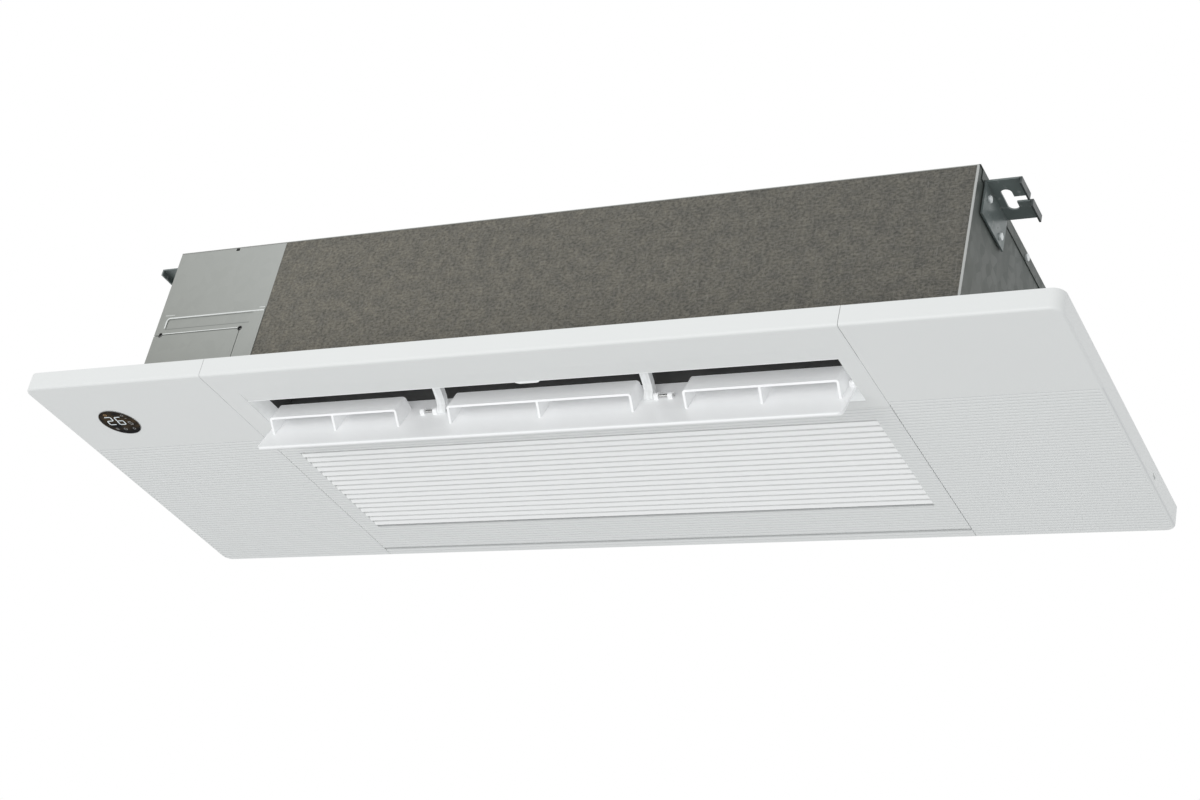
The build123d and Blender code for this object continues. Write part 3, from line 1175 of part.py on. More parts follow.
def make_drain_pump():
    x0, x1, y0, y1 = SUMP
    base = BODY_FOOT + SHEET + FIT
    sump = block(x0, x1, y0, y1, base, SUMP_TOP)
    wall = SUMP_WALL
    sump -= block(x0 + wall, x1 - wall, y0 + wall, y1 - wall, base + wall, SUMP_TOP + CUT)
    sump += block(-SIDE_IN + 0.3, x0 + 1, y0, y0 + 20, base, base + 6)
    save("pump_sump", sump)

    low = base + SUMP_WALL + 3.0
    base_z = PUMP_BODY_LOW
    pump = rod_z(PUMP_X, PUMP_Y, base_z, PUMP_TOP, 26.0)
    pump += rod_z(PUMP_X, PUMP_Y, low, base_z + 1, 10.0)
    pump -= rod_z(PUMP_X, PUMP_Y, low - 1, base_z, 8.2)
    pump -= rod_z(PUMP_X, PUMP_Y, base_z - 1, base_z + 15, VANE_PIN_R + RUNNING)
    # a shelf to the side plate, and an arm with the float's stem
    pump += block(-SIDE_IN + 0.3, PUMP_X - 20, PUMP_Y - 12, PUMP_Y + 12, base_z + 13, base_z + 17)
    pump += block(-SIDE_IN + 0.3, -SIDE_IN + 2.3, PUMP_Y - 12, PUMP_Y + 12, base_z + 3, base_z + 31)
    pump += block(PUMP_X, FLOAT_X + 4, FLOAT_Y - 4, FLOAT_Y + 4, base_z + 3, base_z + 7)
    pump += rod_z(FLOAT_X, FLOAT_Y, low, base_z + 5, 3.0)
    pump += rod_z(FLOAT_X, FLOAT_Y, low - 1.5, low + 0.5, 6.0)
    save("drain_pump", pump)

    impeller = rod_z(PUMP_X, PUMP_Y, low + 1, base_z + 13, VANE_PIN_R)
    impeller += rod_z(PUMP_X, PUMP_Y, low + 1, low + 3, 7.4)
    for index in range(6):
        blade = Pos(4.2, 0, low + 6) * Box(6.4, 1.0, 8)
        impeller += Pos(PUMP_X, PUMP_Y, 0) * Rot(0, 0, 60 * index) * blade
    save("pump_impeller", impeller)

    float_ring = rod_z(FLOAT_X, FLOAT_Y, low + 1, low + 13, 9.0)
    float_ring -= rod_z(FLOAT_X, FLOAT_Y, low, low + 14, 3.2)
    save("pump_float", float_ring)

    end = -SIDE_OUT - SPOUT_REACH
    spout = rod_x(end, end + SPOUT_STRETCH, PUMP_Y, SPOUT_Z, SPOUT_R)
    spout += rod_x(end + 1, PUMP_X, PUMP_Y, SPOUT_Z, SPOUT_NECK_R)
    spout += rod_z(PUMP_X, PUMP_Y, PUMP_TOP + FIT, SPOUT_Z + SPOUT_R, SPOUT_R)
    spout -= rod_x(end - 1, PUMP_X, PUMP_Y, SPOUT_Z, SPOUT_R - SPOUT_WALL)
    spout -= rod_z(PUMP_X, PUMP_Y, PUMP_TOP - 1, SPOUT_Z + SPOUT_R - SPOUT_WALL, SPOUT_R - SPOUT_WALL)
    save("drain_spout", spout)


# --- control box in the left compartment ---

CONTROL_LOW = 14.0
CONTROL_TOP = 128.0
CONTROL_DEPTH = 75.2
CONTROL_WALL = 1.2
BOARD_TOP = CONTROL_TOP - 26.4
BOARD_THICK = 1.6
TERMINAL_LOW = CONTROL_LOW + 10.0
TERMINAL_COUNT = 6
TERMINAL_PITCH = 12.0


def make_control_box():
    x0, x1 = -SIDE_IN + 0.3, PARTITION_LEFT - 20.7
    y0 = BODY_FRONT + SHEET + FIT
    y1 = y0 + CONTROL_DEPTH
    low, high = CONTROL_LOW, CONTROL_TOP
    wall = CONTROL_WALL
    box = block(x0, x1, y0, y1, low, high)
    box -= block(x0 + wall, x1 - wall, y0 + wall, y1 - wall, low - 1, high - wall)
    posts = ((x0 + 18, y0 + 14), (x1 - 14, y0 + 14), (x0 + 18, y1 - 12), (x1 - 14, y1 - 12))
    for x, y in posts:
        box += rod_z(x, y, BOARD_TOP, high - 0.5, 3.0)
    save("control_box", box)
    save("control_lid", block(x0, x1, y0, y1, low - 0.1 - wall, low - 0.1))

    board_top = BOARD_TOP - 0.02
    under = board_top - BOARD_THICK
    board = [block(x0 + 12, x1 - 8, y0 + 8, y1 - 6, under, board_top)]
    for index in range(3):
        x = x0 + 26 + index * 22
        board.append(block(x, x + 16, y0 + 14, y0 + 34, under - 16, under))
    for index in range(2):
        board.append(rod_z(x1 - 26, y0 + 20 + index * 24, under - 28, under, 9.0))
    board.append(block(x0 + 20, x0 + 74, y1 - 26, y1 - 12, under - 9, under))
    save("main_board", *board)

    block_y = y0 + wall + 0.1
    terminal_x = x0 + 20
    terminals = block(terminal_x, terminal_x + TERMINAL_COUNT * TERMINAL_PITCH, block_y, block_y + 20,
                      TERMINAL_LOW, TERMINAL_LOW + 16)
    for index in range(TERMINAL_COUNT):
        x = terminal_x + (index + 0.5) * TERMINAL_PITCH
        terminals -= rod_z(x, block_y + 10, TERMINAL_LOW - 4, TERMINAL_LOW + 6, 3.0)
    save("terminal_block", terminals)

    grommet = rod_x(-SIDE_OUT - 1.2, -SIDE_OUT - 0.1, CABLE_Y, CABLE_Z, CABLE_R + 5)
    grommet += rod_x(-SIDE_OUT - 0.5, -SIDE_IN + 0.5, CABLE_Y, CABLE_Z, CABLE_R + 2.8)
    grommet += rod_x(-SIDE_IN + 0.1, -SIDE_IN + 1.2, CABLE_Y, CABLE_Z, CABLE_R + 5)
    grommet -= rod_x(-SIDE_OUT - 3, -SIDE_IN + 3, CABLE_Y, CABLE_Z, CABLE_R)
    save("cable_grommet", grommet)


# --- hangers and screws ---

FLANGE_X = BODY_X + 0.2


def hanger_bracket(sign, y, top):
    """A pressed bracket: a slotted shelf with turned-down lips and a flange with two screws."""
    outer = FLANGE_X + BRACKET_REACH
    half = BRACKET_WIDTH / 2
    z0 = top - BRACKET_THICK
    shelf = block(FLANGE_X, outer, y - half, y + half, z0, top)
    shelf += block(outer - BRACKET_THICK, outer, y - half, y + half, z0 - BRACKET_LIP, top)
    flange_back = FLANGE_X + BRACKET_THICK
    shelf += block(FLANGE_X, flange_back, y - half, y + half, top - BRACKET_FLANGE, top)
    slot_x = FLANGE_X + SLOT_INSET
    slot = extrude(Rot(0, 0, 90) * SlotOverall(SLOT_OVERALL, SLOT_WIDTH), BRACKET_THICK + 2)
    shelf -= Pos(slot_x, y, z0 - 1) * slot
    shelf -= block(slot_x, outer + 1, y - SLOT_NECK / 2, y + SLOT_NECK / 2, z0 - BRACKET_LIP - 1, top + 1)
    for screw_y, screw_z in bracket_screws(y, top):
        shelf -= rod_x(FLANGE_X - 1, flange_back + 1, screw_y, screw_z, SCREW_R + 0.1)
    if sign < 0:
        shelf = shelf.mirror(Plane.YZ)
    return shelf


def make_hangers():
    brackets = []
    screws = []
    for sign in (-1, 1):
        for y, top in BRACKET_PLACES:
            brackets.append(hanger_bracket(sign, y, top))
            for screw_y, screw_z in bracket_screws(y, top):
                screws.append(side_screw(sign, FLANGE_X + BRACKET_THICK, screw_y, screw_z))
        for y in (BODY_FRONT + 150.1, BODY_BACK - 89.5):
            screws.append(side_screw(sign, BODY_X, y, ROOF - TOP_FLANGE / 2, SHEET - 0.2))
    save("hanger_brackets", *brackets)
    save("body_screws", *screws)


def side_screw(sign, seat_x, y, z, length=None):
    """A pan-head screw whose head seats on the face at seat_x."""
    reach = length if length else seat_x - SIDE_IN + 4
    head = rod_x(seat_x, seat_x + SCREW_HEAD_H, y, z, SCREW_HEAD_R)
    head = fillet(head.faces().sort_by(Axis.X)[-1].edges(), 1.0)
    if not length:
        head += rod_x(seat_x - reach, seat_x + 0.5, y, z, SCREW_R)
    return head if sign > 0 else head.mirror(Plane.YZ)


make_end_covers()
make_front_trim()
make_rear_trim()
make_panel_frame()
make_push_latches()
make_display()
make_flap()
make_flap_arms()
make_flap_motor()
make_air_duct()
make_vanes()
make_vane_link()
VANE_MOTOR_FACE = make_vane_motor()
make_grille_door()
make_filter()
make_body_plates()
make_left_front_cover()
make_foam()
make_scroll_casing()
make_drain_pan(VANE_MOTOR_FACE)
make_partitions()
make_fan()
make_fan_motor()
make_fan_bearing()
make_evaporator()
make_pipes()
make_drain_pump()
make_control_box()
make_hangers()
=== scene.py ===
import math

import bmesh
import bpy
from mathutils import Matrix, Vector


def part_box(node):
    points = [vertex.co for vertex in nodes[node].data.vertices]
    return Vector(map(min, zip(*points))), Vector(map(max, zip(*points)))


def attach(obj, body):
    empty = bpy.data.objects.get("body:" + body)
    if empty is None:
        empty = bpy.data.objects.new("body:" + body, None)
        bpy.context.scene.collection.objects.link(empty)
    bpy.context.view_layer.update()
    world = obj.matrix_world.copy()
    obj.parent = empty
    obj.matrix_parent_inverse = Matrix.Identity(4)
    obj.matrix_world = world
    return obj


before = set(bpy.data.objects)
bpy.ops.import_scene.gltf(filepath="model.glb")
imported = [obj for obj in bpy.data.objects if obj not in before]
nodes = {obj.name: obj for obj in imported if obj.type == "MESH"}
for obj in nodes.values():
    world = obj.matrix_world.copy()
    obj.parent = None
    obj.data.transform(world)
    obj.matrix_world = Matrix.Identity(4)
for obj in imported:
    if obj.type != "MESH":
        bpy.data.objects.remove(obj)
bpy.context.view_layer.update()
scene = bpy.context.scene
scene.view_settings.view_transform = "Standard"


# The room: the unit hangs in white surroundings over a pale floor. The eye and the metal's
# reflections see full white; what lights the unit from all round is dimmer.
AMBIENT = 0.75


class Value:
    """An output socket in a node tree that takes part in Python arithmetic."""

    def __init__(self, owner, socket):
        self.owner = owner
        self.socket = socket

    def maths(self, operation, *terms):
        return self.owner.node("Math", {"operation": operation}, dict(enumerate(terms)))

    def other(self, name):
        """Another output of the same node."""
        return Value(self.owner, self.socket.node.outputs[name])

    def __add__(self, term):
        return self.maths("ADD", self, term)

    def __radd__(self, term):
        return self.maths("ADD", term, self)

    def __sub__(self, term):
        return self.maths("SUBTRACT", self, term)

    def __rsub__(self, term):
        return self.maths("SUBTRACT", term, self)

    def __mul__(self, term):
        return self.maths("MULTIPLY", self, term)

    def __rmul__(self, term):
        return self.maths("MULTIPLY", term, self)

    def __gt__(self, term):
        return self.maths("GREATER_THAN", self, term)

    def sine(self):
        return self.maths("SINE", self)

    def size(self):
        return self.maths("ABSOLUTE", self)

    def root(self):
        return self.maths("SQRT", self)


class Nodes:
    """A node tree with one way to make a node."""

    def __init__(self, tree):
        self.tree = tree

    def node(self, kind, settings, inputs, out=0):
        """Makes a node, sets it up, then gives its sockets their values or links."""
        made = self.tree.nodes.new("ShaderNode" + kind)
        for name, setting in settings.items():
            if name == "stops":
                self.set_stops(made.color_ramp.elements, setting)
            else:
                setattr(made, name, setting)
        for key, given in inputs.items():
            self.feed(made.inputs[key], given)
        return Value(self, made.outputs[out]) if made.outputs else None

    def set_stops(self, elements, stops):
        while len(elements) < len(stops):
            elements.new(0.5)
        for element, (position, grey) in zip(elements, stops):
            element.position = position
            element.color = (grey, grey, grey, 1.0)

    def feed(self, socket, given):
        if isinstance(given, Value):
            self.tree.links.new(given.socket, socket)
        else:
            socket.default_value = given


surroundings = bpy.data.worlds.new("white_room")
surroundings.use_nodes = True
room = Nodes(surroundings.node_tree)
room.tree.nodes.clear()
ray = room.node("LightPath", {}, {}, "Is Camera Ray")
seen = ray + ray.other("Is Glossy Ray") + ray.other("Is Transmission Ray")
dim = room.node("Background", {}, {"Color": (0.97, 0.985, 1.0, 1.0), "Strength": AMBIENT})
full = room.node("Background", {}, {"Color": (1.0, 1.0, 1.0, 1.0), "Strength": 1.0})
glow = room.node("MixShader", {}, {0: seen, 1: dim, 2: full})
room.node("OutputWorld", {}, {"Surface": glow})
scene.world = surroundings

# The camera stands 1.8 m in front of the unit and 1.1 m below the ceiling, to the right of the
# outlet, and looks up along a long lens. Its place was fitted to the panel's and the body's edges.
CAMERA_AT = Vector((1.181728, -1.799837, -1.116395))
CAMERA_RIGHT = Vector((0.877671, 0.434539, 0.202163))
CAMERA_UP = Vector((0.058183, -0.515305, 0.855029))

lens = bpy.data.cameras.new("camera")
lens.lens = 67.886
lens.sensor_width = 36.0
lens.sensor_fit = "HORIZONTAL"
lens.clip_start = 0.01
camera = bpy.data.objects.new("camera", lens)
camera_turn = Matrix((CAMERA_RIGHT, CAMERA_UP, CAMERA_RIGHT.cross(CAMERA_UP))).transposed()
camera.matrix_world = Matrix.Translation(CAMERA_AT) @ camera_turn.to_4x4()
scene.collection.objects.link(camera)
scene.camera = camera


def soft_lamp(name, at, target, size, power):
    """A round soft box that points from its place to its target."""
    light = bpy.data.lights.new(name, "AREA")
    light.shape = "DISK"
    light.size = size
    light.energy = power
    placed = bpy.data.objects.new(name, light)
    placed.location = at
    aim = Vector(target) - Vector(at)
    placed.rotation_euler = aim.to_track_quat("-Z", "Y").to_euler()
    scene.collection.objects.link(placed)


# Two soft boxes in front of the unit: a wide one hardly below the panel, whose light reaches into
# the outlet, and a weaker one lower down.
soft_lamp("front_lamp", (-0.4, -2.6, -0.8), (0.0, -0.1, 0.0), 1.6, 15.0)
soft_lamp("low_lamp", (0.3, -1.7, -1.5), (0.0, 0.0, 0.0), 1.2, 6.0)


class Finish(Nodes):
    """One surface finish: a material with its Principled shader and the nodes that vary it."""

    def __init__(self, name, colour, roughness, metallic=0.0, **constants):
        self.material = bpy.data.materials.new(name)
        self.material.use_nodes = True
        super().__init__(self.material.node_tree)
        self.shader = self.tree.nodes["Principled BSDF"]
        self.base = colour
        self.set("Base Color", (*colour, 1.0))
        self.set("Roughness", roughness)
        self.set("Metallic", metallic)
        for socket, constant in constants.items():
            self.set(socket.replace("_", " "), constant)
        self.place = self.node("TexCoord", {}, {}, "Object")

    def set(self, socket, given):
        self.feed(self.shader.inputs[socket], given)

    def noise(self, scale, detail=2.0, stretch=(1, 1, 1), turn=(0, 0, 0)):
        """Noise over the piece, with scale in lumps per metre."""
        place = self.node("Mapping", {}, {"Vector": self.place, "Rotation": turn, "Scale": stretch})
        inputs = {"Vector": place, "Scale": scale, "Detail": detail, "Roughness": 0.55}
        return self.node("TexNoise", {}, inputs, "Fac")

    def cells(self, scale, feature="F1", out="Distance"):
        """Cells over the piece, with scale in cells per metre."""
        inputs = {"Vector": self.place, "Scale": scale}
        return self.node("TexVoronoi", {"feature": feature}, inputs, out)

    def along(self, axis):
        """The place along one axis of the unit, in metres."""
        return self.node("SeparateXYZ", {}, {"Vector": self.place}, axis)

    def ramp(self, factor, low, high, start=0.0, end=1.0):
        return self.node("ValToRGB", {"stops": [(start, low), (end, high)]}, {"Fac": factor})

    def rise(self, value, start, end):
        """From 0 to 1 while the value runs from start to end."""
        return self.node("MapRange", {}, {"Value": value, "From Min": start, "From Max": end})

    def mix(self, factor, first, second, blend_type="MIX"):
        """A colour mixed from two colours."""
        inputs = {"Factor": factor}
        for socket, given in ((6, first), (7, second)):
            inputs[socket] = given if isinstance(given, Value) else (*given, 1.0)
        return self.node("Mix", {"data_type": "RGBA", "blend_type": blend_type}, inputs, 2)

    def tone(self, factor, spread):
        """The finish's own colour, darker and lighter by a share of it."""
        low = tuple(channel * (1 - spread) for channel in self.base)
        high = tuple(min(channel * (1 + spread), 1.0) for channel in self.base)
        return self.mix(factor, low, high)

    def bump(self, height, distance, strength=1.0):
        inputs = {"Height": height, "Distance": distance, "Strength": strength}
        self.set("Normal", self.node("Bump", {}, inputs))

    def cover(self, *names):
        """Puts the finish on the frame's pieces named."""
        for name in names:
            for slot in nodes[name].material_slots:
                slot.material = self.material


def flat_mesh(name, corners, faces):
    mesh = bpy.data.meshes.new(name)
    mesh.from_pydata(corners, [], faces)
    placed = bpy.data.objects.new(name, mesh)
    scene.collection.objects.link(placed)
    return placed


# The floor: a plain pale ground, painted and a hair uneven. It lies far below the hung unit, which
# throws no hard shadow on it.
FLOOR_Z = -6.0
FLOOR_REACH = 9.0

floor_paint = Finish("floor_paint", (0.86, 0.86, 0.86), 0.9)
floor_paint.set("Base Color", floor_paint.tone(floor_paint.noise(1.5), 0.01))
floor_corners = [(x, y, FLOOR_Z) for x, y in ((-1, -1), (1, -1), (1, 1), (-1, 1))]
floor_corners = [(x * FLOOR_REACH, y * FLOOR_REACH, z) for x, y, z in floor_corners]
floor = flat_mesh("floor", floor_corners, [(0, 1, 2, 3)])
floor.data.materials.append(floor_paint.material)


# The decor panel's covers: two end covers, the outlet trim and the strip behind the grille, all
# injection-moulded in satin white with a fine spark-eroded grain. They clip to the frame inside.
def moulded(name, colour, roughness=0.42, grain=0.05, tone=0.012):
    """A moulded plastic: a hair of tone, uneven gloss and a fine grain."""
    finish = Finish(name, colour, roughness)
    finish.set("Base Color", finish.tone(finish.noise(7.0, 3.0), tone))
    finish.set("Roughness", finish.ramp(finish.noise(60.0), roughness - 0.05, roughness + 0.07))
    finish.bump(finish.noise(2400.0), 0.00005, grain)
    return finish


COVER_WHITE = (0.80, 0.812, 0.80)
# Painted shade greys the grooves between the fine ribs.
PAINTED_GROOVE_SHADE = (0.70, 0.712, 0.71)
RIB_FOOT_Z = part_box("left_end_cover")[0].z
RIBS_FROM_Y = -0.0705
GROOVE_STARTS = 0.0002
GROOVE_FULL = 0.0008
GROOVE_TOP = 0.0012
GROOVE_ENDS = 0.0014


def groove_depth(finish):
    """From 0 on the ribs' faces to 1 on the grooves' floors."""
    return finish.rise(finish.along("Z"), RIB_FOOT_Z + GROOVE_STARTS, RIB_FOOT_Z + GROOVE_FULL)


def paint_groove_shade(finish):
    """Painted shade: the same plastic, a shade greyer down in the grooves between the fine ribs."""
    below_top = finish.rise(finish.along("Z"), RIB_FOOT_Z + GROOVE_ENDS, RIB_FOOT_Z + GROOVE_TOP)
    groove = groove_depth(finish) * below_top * (finish.along("Y") > RIBS_FROM_Y)
    plain = finish.tone(finish.noise(7.0, 3.0), 0.012)
    finish.set("Base Color", finish.mix(groove, plain, PAINTED_GROOVE_SHADE))


def painted_glow(finish, colour, share=1.0):
    """Painted light: a faint glow of its own, which keeps a white moulding pale where it lies in
    shade.
    """
    finish.set("Emission Color", finish.mix(share, (0.0, 0.0, 0.0), colour))
    finish.set("Emission Strength", 1.0)


panel_white = moulded("panel_white", COVER_WHITE)
paint_groove_shade(panel_white)
panel_white.cover("left_end_cover", "right_end_cover", "rear_trim")

# The front trim is the same plastic. The outlet's walls are part of it, and a painted glow keeps
# them pale down in the outlet's shade.
OUTLET_WALL_FROM_Y = -0.1495
OUTLET_WALL_FROM_Z = -0.0215

trim_white = moulded("trim_white", COVER_WHITE)
behind_front = trim_white.along("Y") > OUTLET_WALL_FROM_Y
above_face = trim_white.along("Z") > OUTLET_WALL_FROM_Z
painted_glow(trim_white, (0.21, 0.215, 0.22), behind_front * above_face)
trim_white.cover("front_trim")

# The panel's frame: a stiff tray of natural-coloured plastic behind the covers, glass-filled, so
# its skin shows flow marks. The two push latches on it are black acetal.
frame_plastic = moulded("frame_plastic", (0.60, 0.60, 0.575), 0.55, 0.3, 0.03)
frame_plastic.cover("panel_frame")

latch_black = moulded("latch_black", (0.035, 0.035, 0.036), 0.38)
latch_black.cover("push_latches")


# The display: a gloss black lens flush in the left end cover, with its board in a dark case
# behind. The digits and signs are light that shows through the lens.
lens_black = Finish("lens_black", (0.006, 0.006, 0.007), 0.07, Specular_IOR_Level=0.012)
smear = lens_black.noise(70.0, 4.0, (1, 0.4, 1))
lens_black.set("Roughness", lens_black.ramp(smear, 0.05, 0.16, 0.4, 0.8))
# Brown patches in the lens's colour are a painted reflection.
painted_reflection = lens_black.ramp(lens_black.noise(34.0, 2.0, (1, 1.6, 1)), 0.0, 1.0, 0.5, 0.66)
lens_black.set("Base Color", lens_black.mix(painted_reflection, (0.005, 0.005, 0.0055), (0.052, 0.034, 0.016)))
lens_black.cover("display_lens")

case_black = moulded("case_black", (0.05, 0.05, 0.052), 0.5, 0.3)
case_black.cover("display_module")

LENS_LOW, LENS_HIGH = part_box("display_lens")
LENS_MIDDLE = (LENS_LOW + LENS_HIGH) / 2
SIGN_Z = LENS_LOW.z - 0.00004
SIGN_THICK = 0.0001
DIGIT_STROKE = 1.35
SEGMENTS = {
    "top": ((0, 1), (1, 1)), "upper_right": ((1, 1), (1, 0.5)), "lower_right": ((1, 0.5), (1, 0)),
    "foot": ((0, 0), (1, 0)), "lower_left": ((0, 0.5), (0, 0)), "upper_left": ((0, 1), (0, 0.5)),
    "middle": ((0, 0.5), (1, 0.5)),
}
LIT = {
    "2": ("top", "upper_right", "middle", "lower_left", "foot"),
    "5": ("top", "upper_left", "middle", "lower_right", "foot"),
    "6": ("top", "upper_left", "middle", "lower_left", "lower_right", "foot"),
}


def raised_shape(bm, outline):
    """An outline in mm, right and forward of the lens's middle, as a thin plate on its face."""
    rings = []
    for z in (SIGN_Z, SIGN_Z - SIGN_THICK):
        corners = [(LENS_MIDDLE.x + u / 1000, LENS_MIDDLE.y - v / 1000, z) for u, v in outline]
        rings.append([bm.verts.new(corner) for corner in corners])
    bm.faces.new(rings[0])
    bm.faces.new(rings[1][::-1])
    for index in range(len(outline)):
        after = (index + 1) % len(outline)
        bm.faces.new((rings[0][after], rings[0][index], rings[1][index], rings[1][after]))


def pointed_bar(bm, start, end, width):
    """A bar with mitred ends from start to end, in mm."""
    run = Vector(end) - Vector(start)
    ahead = run.normalized() * width / 2
    aside = Vector((-ahead.y, ahead.x))
    first = Vector(start) + ahead * 0.2
    last = Vector(end) - ahead * 0.2
    left = [first + ahead + aside, last - ahead + aside]
    right = [first + ahead - aside, last - ahead - aside]
    raised_shape(bm, [first, *right, last, *left[::-1]])


def digit(bm, figure, left, low, width, height, stroke):
    """A seven-segment figure that leans a little to the right."""
    lean = math.tan(math.radians(7)) * height
    for segment in LIT[figure]:
        ends = [(left + width * u + lean * v, low + height * v) for u, v in SEGMENTS[segment]]
        pointed_bar(bm, *ends, stroke)


def round_sign(bm, middle, radius, width, share=1.0):
    """A ring, or a share of one, made of short bars."""
    steps = 20
    inside = radius - width
    for step in range(int(steps * share)):
        outline = []
        for turn, reach in ((step, radius), (step + 1, radius), (step + 1, inside), (step, inside)):
            angle = 2 * math.pi * turn / steps + math.pi / 2 + math.pi * (1 - share)
            across, ahead = reach * math.cos(angle), reach * math.sin(angle)
            outline.append((middle[0] + across, middle[1] + ahead))
        raised_shape(bm, outline)


def add_piece(name, bm, finish, body):
    """Turns a bmesh into a piece that rides on a body."""
    bmesh.ops.recalc_face_normals(bm, faces=bm.faces)
    mesh = bpy.data.meshes.new(name)
    bm.to_mesh(mesh)
    bm.free()
    mesh.materials.append(finish.material)
    placed = bpy.data.objects.new(name, mesh)
    scene.collection.objects.link(placed)
    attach(placed, body)
    return placed


def lit_finish(name, colour):
    """Light behind the lens: a hair uneven, as behind a diffuser film."""
    finish = Finish(name, (0.01, 0.01, 0.01), 0.3, Emission_Strength=1.0)
    low = tuple(channel * 0.86 for channel in colour)
    finish.set("Emission Color", finish.mix(finish.noise(900.0, 1.0), low, colour))
    return finish


digits = bmesh.new()
digit(digits, "2", -16.0, -3.9, 8.8, 15.6, DIGIT_STROKE)
digit(digits, "6", -2.2, -4.6, 8.4, 15.4, DIGIT_STROKE)
digit_light = lit_finish("digit_light", (0.66, 0.73, 0.76))
add_piece("display_digits", digits, digit_light, "cassette_body")

signs = bmesh.new()
digit(signs, "5", 11.2, -6.0, 4.6, 6.4, 0.85)
for shift in (-1.6, 0.0, 1.6):
    pointed_bar(signs, (-15.0, -13.4 + shift), (-11.0, -13.4 + shift), 0.6)
round_sign(signs, (-2.0, -14.4), 2.2, 0.55)
round_sign(signs, (10.5, -14.4), 2.0, 0.55, 0.75)
pointed_bar(signs, (10.5, -14.4), (10.5, -11.6), 0.6)
round_sign(signs, (13.0, 13.6), 1.8, 0.5)
pointed_bar(signs, (12.6, 7.4), (15.6, 7.4), 0.7)
sign_light = lit_finish("sign_light", (0.20, 0.205, 0.205))
add_piece("display_signs", signs, sign_light, "cassette_body")

amber_sign = bmesh.new()
round_sign(amber_sign, (-9.0, 16.6), 2.2, 0.6, 0.8)
pointed_bar(amber_sign, (-9.0, 16.4), (-9.0, 19.0), 0.7)
amber_light = lit_finish("amber_light", (0.34, 0.19, 0.05))
add_piece("display_amber_sign", amber_sign, amber_light, "cassette_body")

# A fine grey rim is moulded round the lens. It fills the gap between the lens and the cover, and
# stands a third of a millimetre proud.
RIM_INNER = 0.02465
RIM_OUTER = 0.02515
RIM_STEPS = 96

rim = bmesh.new()
rim_crown = ((RIM_INNER + RIM_OUTER) / 2, -0.00032)
rim_section = [(RIM_INNER, 0.0), (RIM_INNER, -0.0002), rim_crown]
rim_section += [(RIM_OUTER, -0.0002), (RIM_OUTER, 0.0)]
rim_rings = []
for step in range(RIM_STEPS):
    angle = 2 * math.pi * step / RIM_STEPS
    ring = []
    for reach, drop in rim_section:
        x, y = LENS_MIDDLE.x + reach * math.cos(angle), LENS_MIDDLE.y + reach * math.sin(angle)
        ring.append(rim.verts.new((x, y, LENS_LOW.z + drop)))
    rim_rings.append(ring)
for step in range(RIM_STEPS):
    ring, after = rim_rings[step], rim_rings[(step + 1) % RIM_STEPS]
    for low in range(len(rim_section)):
        high = (low + 1) % len(rim_section)
        rim.faces.new((ring[low], ring[high], after[high], after[low]))
rim_grey = moulded("rim_grey", (0.42, 0.43, 0.43), 0.3)
add_piece("display_rim", rim, rim_grey, "cassette_body")


# The outlet flap: one moulding of a gloss white plastic with its three guide wings and hinge
# lugs. Faint flow lines run out from the lip. Steel pins carry it. A painted glow, strongest
# on its upper part, keeps it pale in shade.
flap_white = moulded("flap_white", (0.90, 0.905, 0.905), 0.34, 0.1)
flow = flap_white.noise(26.0, 3.0, (0.25, 1.0, 4.0))
flap_white.set("Base Color", flap_white.tone(flow, 0.014))
flap_white.set("Coat Weight", 0.12)
FLAP_LOW, FLAP_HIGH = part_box("flap")
upper = flap_white.rise(flap_white.along("Z"), FLAP_LOW.z, FLAP_HIGH.z)
painted_glow(flap_white, (0.17, 0.173, 0.177), upper * 0.8 + 0.2)
flap_white.cover("flap")


def turned_steel(name, colour, roughness, lines):
    """Steel with the fine lines of its turning or drawing, across X."""
    finish = Finish(name, colour, roughness, 1.0)
    grain = finish.noise(lines, 2.0, (1.0, 0.06, 0.06))
    finish.set("Base Color", finish.tone(grain, 0.06))
    finish.set("Roughness", finish.ramp(grain, roughness - 0.06, roughness + 0.1))
    finish.bump(grain, 0.00002, 0.3)
    return finish


pin_steel = turned_steel("pin_steel", (0.56, 0.56, 0.55), 0.26, 2600.0)
pin_steel.cover("flap_pins")

# The two arms that carry the flap: tougher white plastic with flow streaks along each arm.
arm_white = moulded("arm_white", (0.84, 0.85, 0.845), 0.36, 0.2)
streaks = arm_white.noise(320.0, 3.0, (1.0, 0.12, 0.12))
streaked = arm_white.ramp(streaks, 0.0, 1.0, 0.42, 0.6)
arm_white.set("Base Color", arm_white.mix(streaked, (0.74, 0.75, 0.745), (0.86, 0.87, 0.868)))
arm_white.bump(streaks, 0.0002, 0.35)
# A painted glow keeps the arms pale in shade.
painted_glow(arm_white, (0.11, 0.113, 0.116))
arm_white.cover("flap_arms")

# The flap's geared motor: a flat case of grey engineering plastic in the panel beside the outlet,
# its surface a little matt.
motor_grey = moulded("motor_grey", (0.16, 0.165, 0.17), 0.45, 0.35, 0.04)
motor_grey.cover("flap_motor")


# The air duct above the outlet: one matt black moulding inside the body, with lighter grey
# patches in its lower part.
duct_black = moulded("duct_black", (0.042, 0.043, 0.043), 0.62, 0.4, 0.05)
height = duct_black.along("Z")
lower_patches = duct_black.noise(45.0, 4.0) * duct_black.ramp(height, 1.0, 0.0, 0.0, 0.05)
duct_black.set("Base Color", duct_black.mix(lower_patches, (0.05, 0.051, 0.051), (0.14, 0.14, 0.135)))
duct_black.cover("air_duct")

